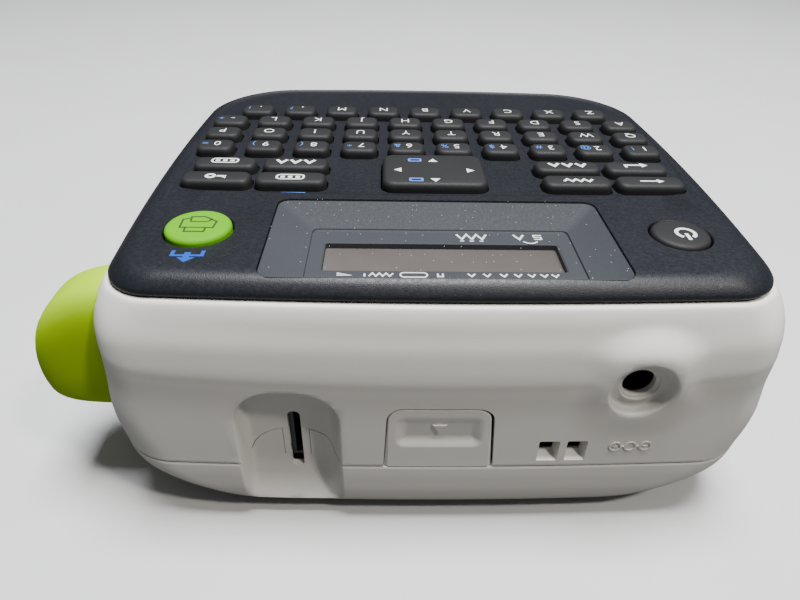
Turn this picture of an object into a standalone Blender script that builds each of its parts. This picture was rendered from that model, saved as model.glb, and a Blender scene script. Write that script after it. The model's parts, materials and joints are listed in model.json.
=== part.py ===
"""A hand-held label maker that lies on its back with its keys up.

+Z is up, +Y points to the end where the tape comes out, and +X to the side with the cutter button.
The origin is the middle of the flat underside. Every size below is in millimetres.
"""

import math

import bmesh
import bpy
from mathutils import Matrix, Vector

MM = 0.001
GAP = 0.3  # clearance between neighbouring pieces
SHARP_ANGLE = math.radians(35)

# ---- driving dimensions -------------------------------------------------------------------------
# The case outline is a rounded rectangle with bowed sides, measured at the panel's lower edge.
HALF_WIDTH = 51.7
NEAR_Y = 46.5
FAR_Y = -45.5
SIDE_BOW = 2.0
NEAR_BOW = 1.5
FAR_BOW = 2.5
FAR_RADIUS = 17.0

# Height, outward step of the sides, outward step of the two ends, near corner radius.
CASE_PROFILE = (
    (47.0, 0.5, 0.5, 7.5),
    (44.5, 1.8, 1.8, 7.3),
    (41.0, 2.8, 2.8, 7.0),
    (37.0, 3.2, 3.2, 7.0),
    (31.0, 3.5, 3.4, 7.0),
    (24.0, 4.0, 3.7, 7.0),
    (17.0, 4.3, 3.9, 9.5),
    (11.0, 3.8, 4.0, 12.0),
    (7.0, 1.6, 3.7, 16.0),
    (4.0, -1.2, 2.7, 19.0),
    (2.0, -4.0, 0.9, 21.0),
    (0.7, -6.7, -1.1, 22.0),
    (0.0, -9.3, -3.3, 23.0),
)
WALL = 2.0
PARTING_Z = 14.8
RIM_Z = 46.6
DECK_Z = (35.5, 37.0)

PANEL_TOP = 50.0
PANEL_UNDER = 48.0
TONGUE_Z = 45.2
KEY_FIELD_Y = 18.3
KEY_FIELD_DEPTH = 0.4

# Keys: letter rows from the far end, each (middle y, number of keys), then the wide keys.
KEY_TOP = 51.5
KEY_PITCH = 9.95
LETTER_KEY = (7.5, 5.6)
LETTER_ROWS = ((-24.65, 9), (-17.05, 10), (-9.45, 10), (-1.85, 10))
WIDE_KEYS = (
    ("outer_front_key_right", 41.05, 14.0, 12.9),
    ("inner_front_key_right", 27.15, 14.0, 13.3),
    ("outer_rear_key_right", 40.75, 7.2, 12.1),
    ("inner_rear_key_right", 27.0, 7.2, 12.8),
    ("inner_front_key_left", -27.05, 14.0, 13.0),
    ("outer_front_key_left", -41.05, 14.0, 12.9),
    ("inner_rear_key_left", -26.7, 7.2, 13.0),
    ("outer_rear_key_left", -40.5, 7.2, 12.2),
)
WIDE_KEY_DEPTH = 5.0
NAV_PAD = (0.0, 9.5, 20.0, 14.4)
KEY_HOLE_CLEARANCE = 0.35
KEY_WEB_Z = (44.9, 47.2)
KEY_WEB_MARGIN = 0.5

BUTTON_RADIUS = 5.4
BUTTON_TOP = 51.3
BUTTONS = (("print_button", 39.9, 32.3), ("power_button", -39.9, 32.6))

# Display, as (low x, low y, high x, high y).
WINDOW = (-28.4, 20.6, 28.4, 45.6)
WINDOW_Z = (49.0, 50.1)
BEZEL_INNER = (-22.0, 27.7, 22.0, 42.7)
BEZEL_Z = (45.0, 48.4)
MODULE_BOX = ((-24.0, 25.0, 42.0), (24.0, 43.8, 44.6))
BOARD_Z = (40.0, 41.6)
BOARD_HALF_WIDTH = 44.0
DOME_SHEET_Z = (41.9, 43.9)

# Tape exit pocket in the near end.
POCKET_X = (16.6, 34.2)
POCKET_TOP = 31.7
POCKET_RADIUS = 7.0
POCKET_BACK_Y = 48.3
POCKET_WALL_Y = 46.0
SLOT_X = (23.5, 25.4)
SLOT_Z = (11.8, 24.4)
RAMP_TOP = 20.6
TONGUE = (21.8, 26.8, 14.2)

# Latch tab, strap eyelets and power inlet, all in the near end.
LATCH_X = (-8.9, 8.9)
LATCH_TOP = 28.6
LATCH_Y = (49.9, 51.6)
LATCH_SCOOP = (-7.3, 7.2, 19.9, 26.6)
EYELET_X = ((-20.3, -17.0), (-25.1, -21.8))
EYELET_Z = (16.3, 20.9)
JACK_X = -31.1
JACK_Z = 33.5
JACK_FACE_Y = 49.9
JACK_BACK_Y = 38.0
JACK_RADIUS = 4.3
JACK_RECESS_RADIUS = 4.7
JACK_BOSS_RADIUS = 6.3
JACK_HOLE_RADIUS = 2.75

# Cutter button: a D-shaped section in X and Z, swept along Y.
CUTTER_SECTION = (
    (51.0, 44.3),
    (55.5, 44.2),
    (59.2, 43.0),
    (62.4, 40.7),
    (65.0, 37.3),
    (66.8, 33.0),
    (67.3, 28.5),
    (66.7, 24.2),
    (65.2, 21.2),
    (61.5, 19.9),
    (56.5, 19.2),
    (51.0, 19.0),
)
CUTTER_MIDDLE_Z = 31.5
CUTTER_ROOT_X = 51.0
# Each station along Y: y, reach in X and height, as shares of the full section.
CUTTER_STATIONS = (
    (43.6, 0.70, 0.97),
    (42.8, 0.88, 0.99),
    (41.0, 1.0, 1.0),
    (28.0, 1.0, 1.0),
    (24.5, 0.9, 1.0),
    (22.4, 0.66, 0.98),
    (21.6, 0.4, 0.96),
)
CUTTER_OPENING = (21.2, 18.6, 44.0, 44.7)
CUTTER_OPENING_DEPTH = (44.3, 60.0)
CUTTER_AXIS_Z = 20.0
BLADE_Y = 39.4

# Tape path and mechanism.
TAPE_X = 24.5
TAPE_WIDTH = 12.0
TAPE_Z = (12.0, 24.0)
TAPE_END_Y = 38.6
PLATE_Z = (27.6, 28.6)
GEAR_Z = (29.2, 31.8)
SHAFT_TOP = 32.6
PLATEN_PLACE = (29.0, 28.0)
PLATEN_RADIUS = 4.0

MODULE = 0.8
BACKLASH = 0.1
DRIVE_PLACE = (31.5, -3.0)
DRIVE_TEETH = 30
MOTOR_TEETH = 10
MOTOR_RADIUS = 7.0
MOTOR_ANGLE = 20.0
TAKE_UP_TEETH = 10
TAKE_UP_ANGLE = 142.8
IDLER_TEETH = 18
PLATEN_TEETH = 14

# Cassette outline seen from above, and its heights.
CASSETTE_OUTLINE = ((-26.0, -8.0), (26.0, -8.0), (26.0, 14.0), (13.5, 14.0), (13.5, 36.0), (-26.0, 36.0))
CASSETTE_Z = (9.5, 27.0)
CASSETTE_WALL = 1.2
TAPE_ROLL = (-7.0, 16.0, 16.5, 8.0)
SUPPLY_SPOOL = (10.5, -2.0, 4.2, 1.5)

# AAA cells: two columns of three, their axes along X.
CELL_LENGTH = 44.5
CELL_RADIUS = 5.25
CELL_Y = (-38.5, -27.7, -16.9)
CELL_Z = 10.2
CELL_MIDDLE_X = 22.7

# Each case screw: x, y and the height of the foot of its boss under the panel.
SCREW_PLACES = ((31.3, 21.6, 41.9), (-31.3, 21.6, 41.9), (47.6, -29.0, 37.3), (-47.6, -29.0, 37.3))
SCREW_BOSS_RADIUS = 2.5
SCREW_BORE_RADIUS = 1.5
SCREW_SHANK_RADIUS = 1.2
SCREW_TIP_Z = 46.5

# Colour, roughness and metallic value of each material.
MATERIALS = {
    "white_plastic": ((0.72, 0.71, 0.68), 0.45, 0.0),
    "charcoal_plastic": ((0.035, 0.038, 0.045), 0.5, 0.0),
    "key_rubber": ((0.03, 0.03, 0.032), 0.7, 0.0),
    "green_rubber": ((0.27, 0.6, 0.05), 0.5, 0.0),
    "green_plastic": ((0.33, 0.5, 0.015), 0.4, 0.0),
    "clear_plastic": ((0.6, 0.62, 0.66), 0.1, 0.0),
    "grey_plastic": ((0.15, 0.16, 0.19), 0.5, 0.0),
    "display_glass": ((0.25, 0.22, 0.2), 0.25, 0.0),
    "black_plastic": ((0.015, 0.015, 0.017), 0.45, 0.0),
    "circuit_board": ((0.02, 0.16, 0.07), 0.45, 0.0),
    "steel": ((0.55, 0.56, 0.58), 0.3, 1.0),
    "aluminium": ((0.7, 0.7, 0.72), 0.4, 1.0),
    "gear_plastic": ((0.8, 0.78, 0.7), 0.5, 0.0),
    "platen_rubber": ((0.05, 0.05, 0.05), 0.8, 0.0),
    "cassette_plastic": ((0.3, 0.3, 0.31), 0.4, 0.0),
    "label_tape": ((0.85, 0.85, 0.84), 0.5, 0.0),
    "ribbon_film": ((0.02, 0.02, 0.02), 0.3, 0.0),
    "cell_jacket": ((0.06, 0.06, 0.07), 0.35, 0.2),
}


# ---- scene and object helpers -------------------------------------------------------------------
def clear_scene():
    for item in list(bpy.data.objects):
        bpy.data.objects.remove(item, do_unlink=True)
    for name in ("label_maker", "label_maker_cutters"):
        bpy.context.scene.collection.children.link(bpy.data.collections.new(name))


def material(name):
    if name in bpy.data.materials:
        return bpy.data.materials[name]
    colour, roughness, metallic = MATERIALS[name]
    made = bpy.data.materials.new(name)
    made.use_nodes = True
    shader = made.node_tree.nodes["Principled BSDF"]
    shader.inputs["Base Color"].default_value = (*colour, 1.0)
    shader.inputs["Roughness"].default_value = roughness
    shader.inputs["Metallic"].default_value = metallic
    return made


def place(item, material_name):
    """Puts an object in the parts' collection, or among the cutters if it has no material."""
    if material_name is None:
        bpy.data.collections["label_maker_cutters"].objects.link(item)
        item.hide_render = True
        item.display_type = "WIRE"
        return item
    bpy.data.collections["label_maker"].objects.link(item)
    item.data.materials.append(material(material_name))
    if item.type == "MESH" and item.data.polygons:
        item.data.shade_smooth()
        item.data.set_sharp_from_angle(angle=SHARP_ANGLE)
    return item


def solid(name, shape, material_name=None, origin=(0, 0, 0)):
    """Makes an object from a bmesh drawn in place, in millimetres, with its origin at origin."""
    bmesh.ops.translate(shape, verts=shape.verts, vec=-Vector(origin))
    bmesh.ops.scale(shape, verts=shape.verts, vec=(MM, MM, MM))
    mesh = bpy.data.meshes.new(name)
    shape.to_mesh(mesh)
    shape.free()
    item = bpy.data.objects.new(name, mesh)
    item.location = Vector(origin) * MM
    return place(item, material_name)


def combine(target, other, operation="DIFFERENCE"):
    change = target.modifiers.new(other.name, "BOOLEAN")
    change.operation = operation
    change.object = other
    return target


# ---- shapes, all in millimetres -----------------------------------------------------------------
def box(low, high, shape=None):
    shape = shape or bmesh.new()
    low, high = Vector(low), Vector(high)
    size = Matrix.Diagonal((*(high - low), 1.0))
    bmesh.ops.create_cube(shape, size=1.0, matrix=Matrix.Translation((low + high) / 2) @ size)
    return shape


AXIS_TURN = {
    "X": Matrix.Rotation(math.radians(90), 4, "Y"),
    "Y": Matrix.Rotation(math.radians(-90), 4, "X"),
    "Z": Matrix.Identity(4),
}


def cylinder(start, length, radius, axis="Z", sides=20, end_radius=None, shape=None):
    """A cylinder or cone from the point start along the positive axis."""
    shape = shape or bmesh.new()
    along = Vector({"X": (1, 0, 0), "Y": (0, 1, 0), "Z": (0, 0, 1)}[axis])
    where = Matrix.Translation(Vector(start) + along * length / 2) @ AXIS_TURN[axis]
    bmesh.ops.create_cone(
        shape,
        cap_ends=True,
        segments=sides,
        radius1=radius,
        radius2=radius if end_radius is None else end_radius,
        depth=length,
        matrix=where,
    )
    return shape


def prism(outline, axis, start, stop, shape=None):
    """Extrudes a flat outline along an axis. The outline's pairs are the two other coordinates."""
    shape = shape or bmesh.new()
    order = {"X": lambda a, b, c: (c, a, b), "Y": lambda a, b, c: (a, c, b), "Z": lambda a, b, c: (a, b, c)}
    corners = [shape.verts.new(order[axis](a, b, start)) for a, b in outline]
    face = shape.faces.new(corners)
    grown = bmesh.ops.extrude_face_region(shape, geom=[face])
    moved = [part for part in grown["geom"] if isinstance(part, bmesh.types.BMVert)]
    bmesh.ops.translate(shape, verts=moved, vec=order[axis](0, 0, stop - start))
    bmesh.ops.recalc_face_normals(shape, faces=shape.faces)
    return shape


def loft(rings, closed=False, shape=None):
    """Skins rings of equal length. An open loft is capped, a closed one joins its ends."""
    shape = shape or bmesh.new()
    rows = [[shape.verts.new(point) for point in ring] for ring in rings]
    pairs = list(zip(rows, rows[1:]))
    if closed:
        pairs.append((rows[-1], rows[0]))
    for lower, upper in pairs:
        for i in range(len(lower)):
            j = (i + 1) % len(lower)
            shape.faces.new((lower[i], lower[j], upper[j], upper[i]))
    if not closed:
        shape.faces.new(rows[0])
        shape.faces.new(rows[-1])
    bmesh.ops.recalc_face_normals(shape, faces=shape.faces)
    return shape


def arc(centre, radius, start, stop, steps):
    turn = [math.radians(start + (stop - start) * i / steps) for i in range(steps + 1)]
    return [(centre[0] + radius * math.cos(a), centre[1] + radius * math.sin(a)) for a in turn]


def rounded_rectangle(low_x, low_y, high_x, high_y, radius, steps=2):
    points = arc((high_x - radius, high_y - radius), radius, 0, 90, steps)
    points += arc((low_x + radius, high_y - radius), radius, 90, 180, steps)
    points += arc((low_x + radius, low_y + radius), radius, 180, 270, steps)
    points += arc((high_x - radius, low_y + radius), radius, 270, 360, steps)
    return points


def arch(low_x, high_x, low_z, high_z, radius, steps=4):
    """An upright outline in X and Z with a square foot and rounded top corners."""
    points = [(low_x, low_z), (high_x, low_z)]
    points += arc((high_x - radius, high_z - radius), radius, 0, 90, steps)
    return points + arc((low_x + radius, high_z - radius), radius, 90, 180, steps)


def key_block(centre_x, centre_y, width, depth, bottom, top, radius, shape=None):
    """A key cap whose top edge is drawn in a little."""
    rings = []
    for height, inset in ((bottom, 0.0), (top - 0.6, 0.0), (top, 0.7)):
        half_x, half_y = width / 2 - inset, depth / 2 - inset
        corner = max(radius - inset, 0.5)
        flat = rounded_rectangle(
            centre_x - half_x, centre_y - half_y, centre_x + half_x, centre_y + half_y, corner, 1
        )
        rings.append([(x, y, height) for x, y in flat])
    return loft(rings, shape=shape)


def case_steps(height):
    """The profile's outward steps and near corner radius at a height."""
    for upper, lower in zip(CASE_PROFILE, CASE_PROFILE[1:]):
        if lower[0] <= height <= upper[0]:
            share = (upper[0] - height) / (upper[0] - lower[0])
            return [a + (b - a) * share for a, b in zip(upper[1:], lower[1:])]
    return list(CASE_PROFILE[0][1:])


def case_outline(side, end, near_radius, near_y=NEAR_Y):
    """The case's outline in X and Y, stepped outwards by side and end, with its bowed edges."""
    half = HALF_WIDTH + side
    near, far = near_y + end, FAR_Y - end
    far_radius = max(FAR_RADIUS + side / 2, 3.0)
    points = []
    for centre_x, centre_y, radius, start, steps in (
        (half - near_radius, near - near_radius, near_radius, 0, 5),
        (near_radius - half, near - near_radius, near_radius, 90, 5),
        (far_radius - half, far + far_radius, far_radius, 180, 6),
        (half - far_radius, far + far_radius, far_radius, 270, 6),
    ):
        corner = arc((centre_x, centre_y), radius, start, start + 90, steps)
        if points:
            points += edge_points(points[-1], corner[0])
        points += corner
    points += edge_points(points[-1], points[0])
    middle, half_length = (near + far) / 2, (near - far) / 2
    bowed = []
    for x, y in points:
        across, along = x / half, (y - middle) / half_length
        bow = NEAR_BOW if along > 0 else FAR_BOW
        bowed.append((x + SIDE_BOW * (1 - along**2) * across, y + bow * (1 - across**2) * along))
    return bowed


def edge_points(start, stop, pieces=5):
    return [
        (start[0] + (stop[0] - start[0]) * i / pieces, start[1] + (stop[1] - start[1]) * i / pieces)
        for i in range(1, pieces)
    ]


def case_ring(height, inset=0.0, profile_height=None):
    side, end, radius = case_steps(height if profile_height is None else profile_height)
    outline = case_outline(side - inset, end - inset, max(radius - inset, 2.0))
    return [(x, y, height) for x, y in outline]


def panel_ring(height, step, radius=7.0):
    return [(x, y, height) for x, y in case_outline(step, step, radius)]


# ---- gears --------------------------------------------------------------------------------------
def pitch_radius(teeth):
    return MODULE * teeth / 2


def beside(place_a, teeth_a, teeth_b, angle):
    """Centre of a gear in mesh with another, in the direction angle from it."""
    reach = pitch_radius(teeth_a) + pitch_radius(teeth_b) + BACKLASH
    turn = math.radians(angle)
    return (place_a[0] + reach * math.cos(turn), place_a[1] + reach * math.sin(turn))


def mesh_phase(phase_a, teeth_a, teeth_b, angle):
    """Angle of one of gear b's teeth, so that its gaps meet gear a's teeth in the direction angle."""
    share = (phase_a - angle) / (360 / teeth_a)
    return angle + 180 - (share - 0.5) * 360 / teeth_b


def gear_outline(centre, teeth, phase):
    """Straight-flanked teeth, narrow enough to run with backlash."""
    root = pitch_radius(teeth) - 1.0 * MODULE
    tip = pitch_radius(teeth) + 0.8 * MODULE
    pitch = 360 / teeth
    points = []
    for i in range(teeth):
        for offset, radius in ((-0.27, root), (-0.11, tip), (0.11, tip), (0.27, root)):
            turn = math.radians(phase + (i + offset) * pitch)
            points.append((centre[0] + radius * math.cos(turn), centre[1] + radius * math.sin(turn)))
    return points


def bored_gear(name, centre, teeth, phase, bore):
    toothed = prism(gear_outline(centre, teeth, phase), "Z", *GEAR_Z)
    gear = solid(name, toothed, "gear_plastic", (*centre, 30.0))
    low, high = GEAR_Z[0] - 1, GEAR_Z[1] + 1
    hole = solid(name + "_bore", cylinder((*centre, low), high - low, bore, sides=16))
    return combine(gear, hole)


def shafted_gear(name, centre, teeth, phase, shaft_radius, shaft_bottom, material_name="gear_plastic"):
    toothed = prism(gear_outline(centre, teeth, phase), "Z", *GEAR_Z)
    gear = solid(name, toothed, material_name, (*centre, 30.0))
    length = SHAFT_TOP - shaft_bottom
    shaft = solid(name + "_shaft", cylinder((*centre, shaft_bottom), length, shaft_radius, sides=16))
    return combine(gear, shaft, "UNION")


MOTOR_PLACE = beside(DRIVE_PLACE, DRIVE_TEETH, MOTOR_TEETH, MOTOR_ANGLE)
TAKE_UP_PLACE = beside(DRIVE_PLACE, DRIVE_TEETH, TAKE_UP_TEETH, TAKE_UP_ANGLE)


def idler_place():
    """Where the idler meshes with both the drive gear and the platen gear, on the motor's side."""
    to_drive = pitch_radius(DRIVE_TEETH) + pitch_radius(IDLER_TEETH) + BACKLASH
    to_platen = pitch_radius(PLATEN_TEETH) + pitch_radius(IDLER_TEETH) + BACKLASH
    drive, platen = Vector(DRIVE_PLACE), Vector(PLATEN_PLACE)
    span = (platen - drive).length
    along = (to_drive**2 - to_platen**2 + span**2) / (2 * span)
    aside = math.sqrt(to_drive**2 - along**2)
    direction = (platen - drive) / span
    return tuple(drive + direction * along + Vector((direction.y, -direction.x)) * aside)


IDLER_PLACE = idler_place()


def bearing(start, stop):
    """Direction in degrees from one place to another."""
    return math.degrees(math.atan2(stop[1] - start[1], stop[0] - start[0]))


# ---- case ---------------------------------------------------------------------------------------
def all_key_places():
    """(x, y, width, depth) of every key hole."""
    for middle_y, count in LETTER_ROWS:
        for i in range(count):
            yield ((i - (count - 1) / 2) * KEY_PITCH, middle_y, *LETTER_KEY)
    for _, x, y, width in WIDE_KEYS:
        yield (x, y, width, WIDE_KEY_DEPTH)
    yield NAV_PAD


def front_panel():
    rings = [
        panel_ring(PANEL_UNDER, -3.2),
        panel_ring(TONGUE_Z, -2.8),
        panel_ring(TONGUE_Z, -1.4),
        panel_ring(46.9, -1.4),
        panel_ring(46.9, -0.1),
        panel_ring(47.6, 0.0),
        panel_ring(48.7, -0.35),
        panel_ring(49.6, -1.1),
        panel_ring(PANEL_TOP, -2.2),
    ]
    panel = solid("front_panel", loft(rings), "charcoal_plastic")
    bosses = bmesh.new()
    for x, y, foot in SCREW_PLACES:
        cylinder((x, y, foot), PANEL_UNDER + 0.5 - foot, SCREW_BOSS_RADIUS, sides=12, shape=bosses)
    combine(panel, solid("panel_bosses", bosses), "UNION")

    field = case_outline(-3.6, -3.6, 5.0, near_y=KEY_FIELD_Y + 3.6 - NEAR_BOW)
    shallow = prism(field, "Z", PANEL_TOP - KEY_FIELD_DEPTH, PANEL_TOP + 2)
    combine(panel, solid("key_field", shallow))

    holes = bmesh.new()
    low, high = PANEL_UNDER - 1, PANEL_TOP + 1
    for x, y, width, depth in all_key_places():
        half_x, half_y = width / 2 + KEY_HOLE_CLEARANCE, depth / 2 + KEY_HOLE_CLEARANCE
        corner = 2.2 if depth > 10 else 1.7
        flat = rounded_rectangle(x - half_x, y - half_y, x + half_x, y + half_y, corner, 1)
        prism(flat, "Z", low, high, shape=holes)
    for _, x, y in BUTTONS:
        cylinder((x, y, low), high - low, BUTTON_RADIUS + GAP, sides=24, shape=holes)
    combine(panel, solid("key_holes", holes))

    window = bmesh.new()
    low_x, low_y, high_x, high_y = WINDOW
    seat = rounded_rectangle(low_x - GAP, low_y - GAP, high_x + GAP, high_y + 0.2, 2.2)
    prism(seat, "Z", WINDOW_Z[0] - GAP, high, shape=window)
    combine(panel, solid("window_seat", window))
    through = rounded_rectangle(low_x + 2.0, low_y + 2.0, high_x - 2.0, high_y - 1.4, 1.5)
    combine(panel, solid("window_opening", prism(through, "Z", 40.0, high)))

    bores = bmesh.new()
    for x, y, _ in SCREW_PLACES:
        cylinder((x, y, 30.0), SCREW_TIP_Z + GAP - 30.0, SCREW_BORE_RADIUS, sides=10, shape=bores)
    combine(panel, solid("panel_screw_bores", bores))


def main_housing():
    low = PARTING_Z + GAP / 2
    rings = [case_ring(DECK_Z[0], WALL)]
    rings += [case_ring(height, WALL) for height in (31.0, 24.0, 17.0)]
    rings += [case_ring(low, WALL), case_ring(low)]
    rings += [case_ring(height) for height in (17.0, 24.0, 31.0, 37.0, 41.0, 44.5, 45.8)]
    rings += [panel_ring(RIM_Z, 0.45), panel_ring(RIM_Z, -0.9), panel_ring(44.5, -0.9)]
    rings += [case_ring(41.0, WALL), case_ring(DECK_Z[1], WALL)]
    housing = solid("main_housing", loft(rings), "white_plastic")

    block = box((14.6, POCKET_WALL_Y, low), (36.2, 50.4, POCKET_TOP + 2.0))
    combine(housing, solid("pocket_block", block), "UNION")
    boss = cylinder((JACK_X, 46.0, JACK_Z), 6.2, 7.4, "Y", 24, JACK_BOSS_RADIUS)
    combine(housing, solid("jack_boss", boss), "UNION")

    cuts = bmesh.new()
    pocket = arch(*POCKET_X, -1.0, POCKET_TOP, POCKET_RADIUS)
    prism(pocket, "Y", POCKET_BACK_Y, 60.0, shape=cuts)
    opening = arch(LATCH_X[0] - 0.4, LATCH_X[1] + 0.4, 5.0, LATCH_TOP + 0.4, 2.9)
    prism(opening, "Y", 44.0, 60.0, shape=cuts)
    for low_x, high_x in EYELET_X:
        box((low_x, 44.0, EYELET_Z[0]), (high_x, 60.0, EYELET_Z[1]), shape=cuts)
    cylinder((JACK_X, JACK_BACK_Y - GAP, JACK_Z), 24.0, JACK_RECESS_RADIUS, "Y", 24, shape=cuts)
    side_opening = rounded_rectangle(*CUTTER_OPENING, 0.8)
    prism(side_opening, "X", *CUTTER_OPENING_DEPTH, shape=cuts)
    for x, y, _ in SCREW_PLACES:
        cylinder((x, y, 30.0), 10.0, SCREW_BORE_RADIUS, sides=10, shape=cuts)
    combine(housing, solid("housing_cuts", cuts))
    slot = box((SLOT_X[0], 40.0, SLOT_Z[0]), (SLOT_X[1], 60.0, SLOT_Z[1]))
    combine(housing, solid("tape_slot", slot))


def back_cover():
    rings = [case_ring(2.2, WALL, profile_height=3.0), case_ring(4.0, WALL), case_ring(7.0, WALL)]
    rings += [case_ring(PARTING_Z - GAP / 2, WALL), case_ring(PARTING_Z - GAP / 2)]
    rings += [case_ring(height) for height in (7.0, 4.0, 2.0, 0.7, 0.0)]
    cover = solid("back_cover", loft(rings), "white_plastic", (0.0, FAR_Y - 6.8, PARTING_Z))

    top = PARTING_Z - GAP / 2
    inside = ((POCKET_WALL_Y, 2.6), (48.0, 2.6), (49.3, 4.0), (50.2, 7.0), (50.2, top))
    inside += ((POCKET_WALL_Y, top),)
    combine(cover, solid("cover_pocket_block", prism(inside, "X", 14.6, 36.2)), "UNION")
    carved = ((POCKET_BACK_Y, 30.0), (POCKET_BACK_Y, 12.0), (48.6, 8.5), (49.4, 5.5), (50.4, 3.3))
    carved += ((60.0, 1.0), (60.0, 30.0))
    scoop = prism(carved, "X", *POCKET_X)
    combine(cover, solid("cover_scoop", scoop))

    foot, face = PARTING_Z - 3.0, POCKET_BACK_Y + 0.9
    ramp_outline = arch(POCKET_X[0] + 1.0, POCKET_X[1] - 1.0, foot, RAMP_TOP, 5.6)
    ramp = solid("cover_ramp", prism(ramp_outline, "Y", POCKET_BACK_Y + GAP, face))
    bridge = box((POCKET_X[0] + 1.0, POCKET_WALL_Y, foot), (POCKET_X[1] - 1.0, face, top))
    combine(ramp, solid("ramp_bridge", bridge), "UNION")
    combine(cover, ramp, "UNION")
    low_x, high_x, foot = TONGUE
    notch = box((low_x - GAP, 40.0, foot), (high_x + GAP, 60.0, 30.0))
    combine(cover, solid("ramp_notch", notch))
    slot = box((SLOT_X[0], 40.0, SLOT_Z[0]), (SLOT_X[1], 60.0, foot + 1.0))
    combine(cover, solid("cover_slot", slot))


def cover_latch():
    low = PARTING_Z + GAP / 2
    tab = arch(*LATCH_X, low, LATCH_TOP, 2.5)
    latch = solid("cover_latch", prism(tab, "Y", *LATCH_Y), "white_plastic", (0.0, 51.0, PARTING_Z))
    scoop = arch(*LATCH_SCOOP, 3.0)
    combine(latch, solid("latch_scoop", prism(scoop, "Y", LATCH_Y[1] - 0.5, 60.0)))


# ---- keys and display ---------------------------------------------------------------------------
def keys():
    for row, (middle_y, count) in enumerate(LETTER_ROWS, start=1):
        places = [(i - (count - 1) / 2) * KEY_PITCH for i in range(count)]
        half_x = places[-1] + LETTER_KEY[0] / 2 + 0.3
        half_y = LETTER_KEY[1] / 2 + KEY_WEB_MARGIN
        web = box((-half_x, middle_y - half_y, KEY_WEB_Z[0]), (half_x, middle_y + half_y, KEY_WEB_Z[1]))
        strip = solid(f"letter_keys_row_{row}", web, "key_rubber", (0.0, middle_y, KEY_TOP))
        caps = bmesh.new()
        for x in places:
            key_block(x, middle_y, *LETTER_KEY, KEY_WEB_Z[0] + 0.5, KEY_TOP, 1.5, shape=caps)
        combine(strip, solid(f"row_{row}_caps", caps), "UNION")
    for name, x, y, width in WIDE_KEYS:
        single_key(name, x, y, width, WIDE_KEY_DEPTH, 1.6)
    single_key("navigation_pad", *NAV_PAD, 2.0)


def single_key(name, x, y, width, depth, corner):
    half_y = depth / 2 + KEY_WEB_MARGIN
    web = box((x - width / 2, y - half_y, KEY_WEB_Z[0]), (x + width / 2, y + half_y, KEY_WEB_Z[1]))
    key = solid(name, web, "key_rubber", (x, y, KEY_TOP))
    cap = key_block(x, y, width - 0.02, depth, KEY_WEB_Z[0] + 0.5, KEY_TOP, corner)
    combine(key, solid(name + "_cap", cap), "UNION")


def buttons():
    for (name, x, y), finish in zip(BUTTONS, ("green_rubber", "key_rubber")):
        profile = ((6.3, KEY_WEB_Z[0]), (6.3, 46.4), (BUTTON_RADIUS, 46.4))
        profile += ((BUTTON_RADIUS, BUTTON_TOP - 0.7), (BUTTON_RADIUS - 0.8, BUTTON_TOP))
        turned(name, profile, (x, y), finish)


def turned(name, profile, centre, finish, sides=24):
    """A round piece on a vertical axis. The profile runs up its outer side, from (radius, height)."""
    shape = bmesh.new()
    points = [(0.0, profile[0][1]), *profile, (0.0, profile[-1][1])]
    corners = [shape.verts.new((radius * MM, 0.0, height * MM)) for radius, height in reversed(points)]
    for above, below in zip(corners, corners[1:]):
        shape.edges.new((above, below))
    mesh = bpy.data.meshes.new(name)
    shape.to_mesh(mesh)
    shape.free()
    item = bpy.data.objects.new(name, mesh)
    item.location = (centre[0] * MM, centre[1] * MM, 0.0)
    add_screw(item, sides)
    return place(item, finish)


def add_screw(item, sides):
    spin = item.modifiers.new("turn", "SCREW")
    spin.axis = "Z"
    spin.steps = sides
    spin.render_steps = sides
    spin.use_merge_vertices = True
    spin.merge_threshold = 1e-6
    spin.use_smooth_shade = True
    item.modifiers.new("shading", "WEIGHTED_NORMAL")


def display():
    low_x, low_y, high_x, high_y = WINDOW
    pane = prism(rounded_rectangle(low_x, low_y, high_x, high_y, 2.0), "Z", *WINDOW_Z)
    solid("lcd_window", pane, "clear_plastic")

    outer = (low_x + 2.5, low_y + 2.5, high_x - 2.5, high_y - 1.8)
    rim = (low_x + 3.2, low_y + 3.2, high_x - 3.2, high_y - 2.4)
    rings = []
    for flat, radius, height in (
        (outer, 2.0, BEZEL_Z[0]),
        (outer, 2.0, BEZEL_Z[1]),
        (rim, 1.6, BEZEL_Z[1]),
        (BEZEL_INNER, 1.0, BEZEL_Z[0] + 0.8),
        (BEZEL_INNER, 1.0, BEZEL_Z[0]),
    ):
        rings.append([(x, y, height) for x, y in rounded_rectangle(*flat, radius)])
    solid("lcd_bezel", loft(rings, closed=True), "grey_plastic")
    solid("lcd_module", box(*MODULE_BOX), "display_glass")

    outline = rounded_rectangle(-BOARD_HALF_WIDTH, -42.0, BOARD_HALF_WIDTH, 44.5, 12.0, 4)
    board = solid("main_circuit_board", prism(outline, "Z", *BOARD_Z), "circuit_board")
    bores = bmesh.new()
    for x, y, _ in SCREW_PLACES[:2]:
        cylinder((x, y, 38.0), 6.0, SCREW_BORE_RADIUS, sides=10, shape=bores)
    combine(board, solid("board_bores", bores))
    sheet = rounded_rectangle(-BOARD_HALF_WIDTH, -30.0, BOARD_HALF_WIDTH, 18.5, 3.0)
    solid("key_dome_sheet", prism(sheet, "Z", *DOME_SHEET_Z), "key_rubber")


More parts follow.
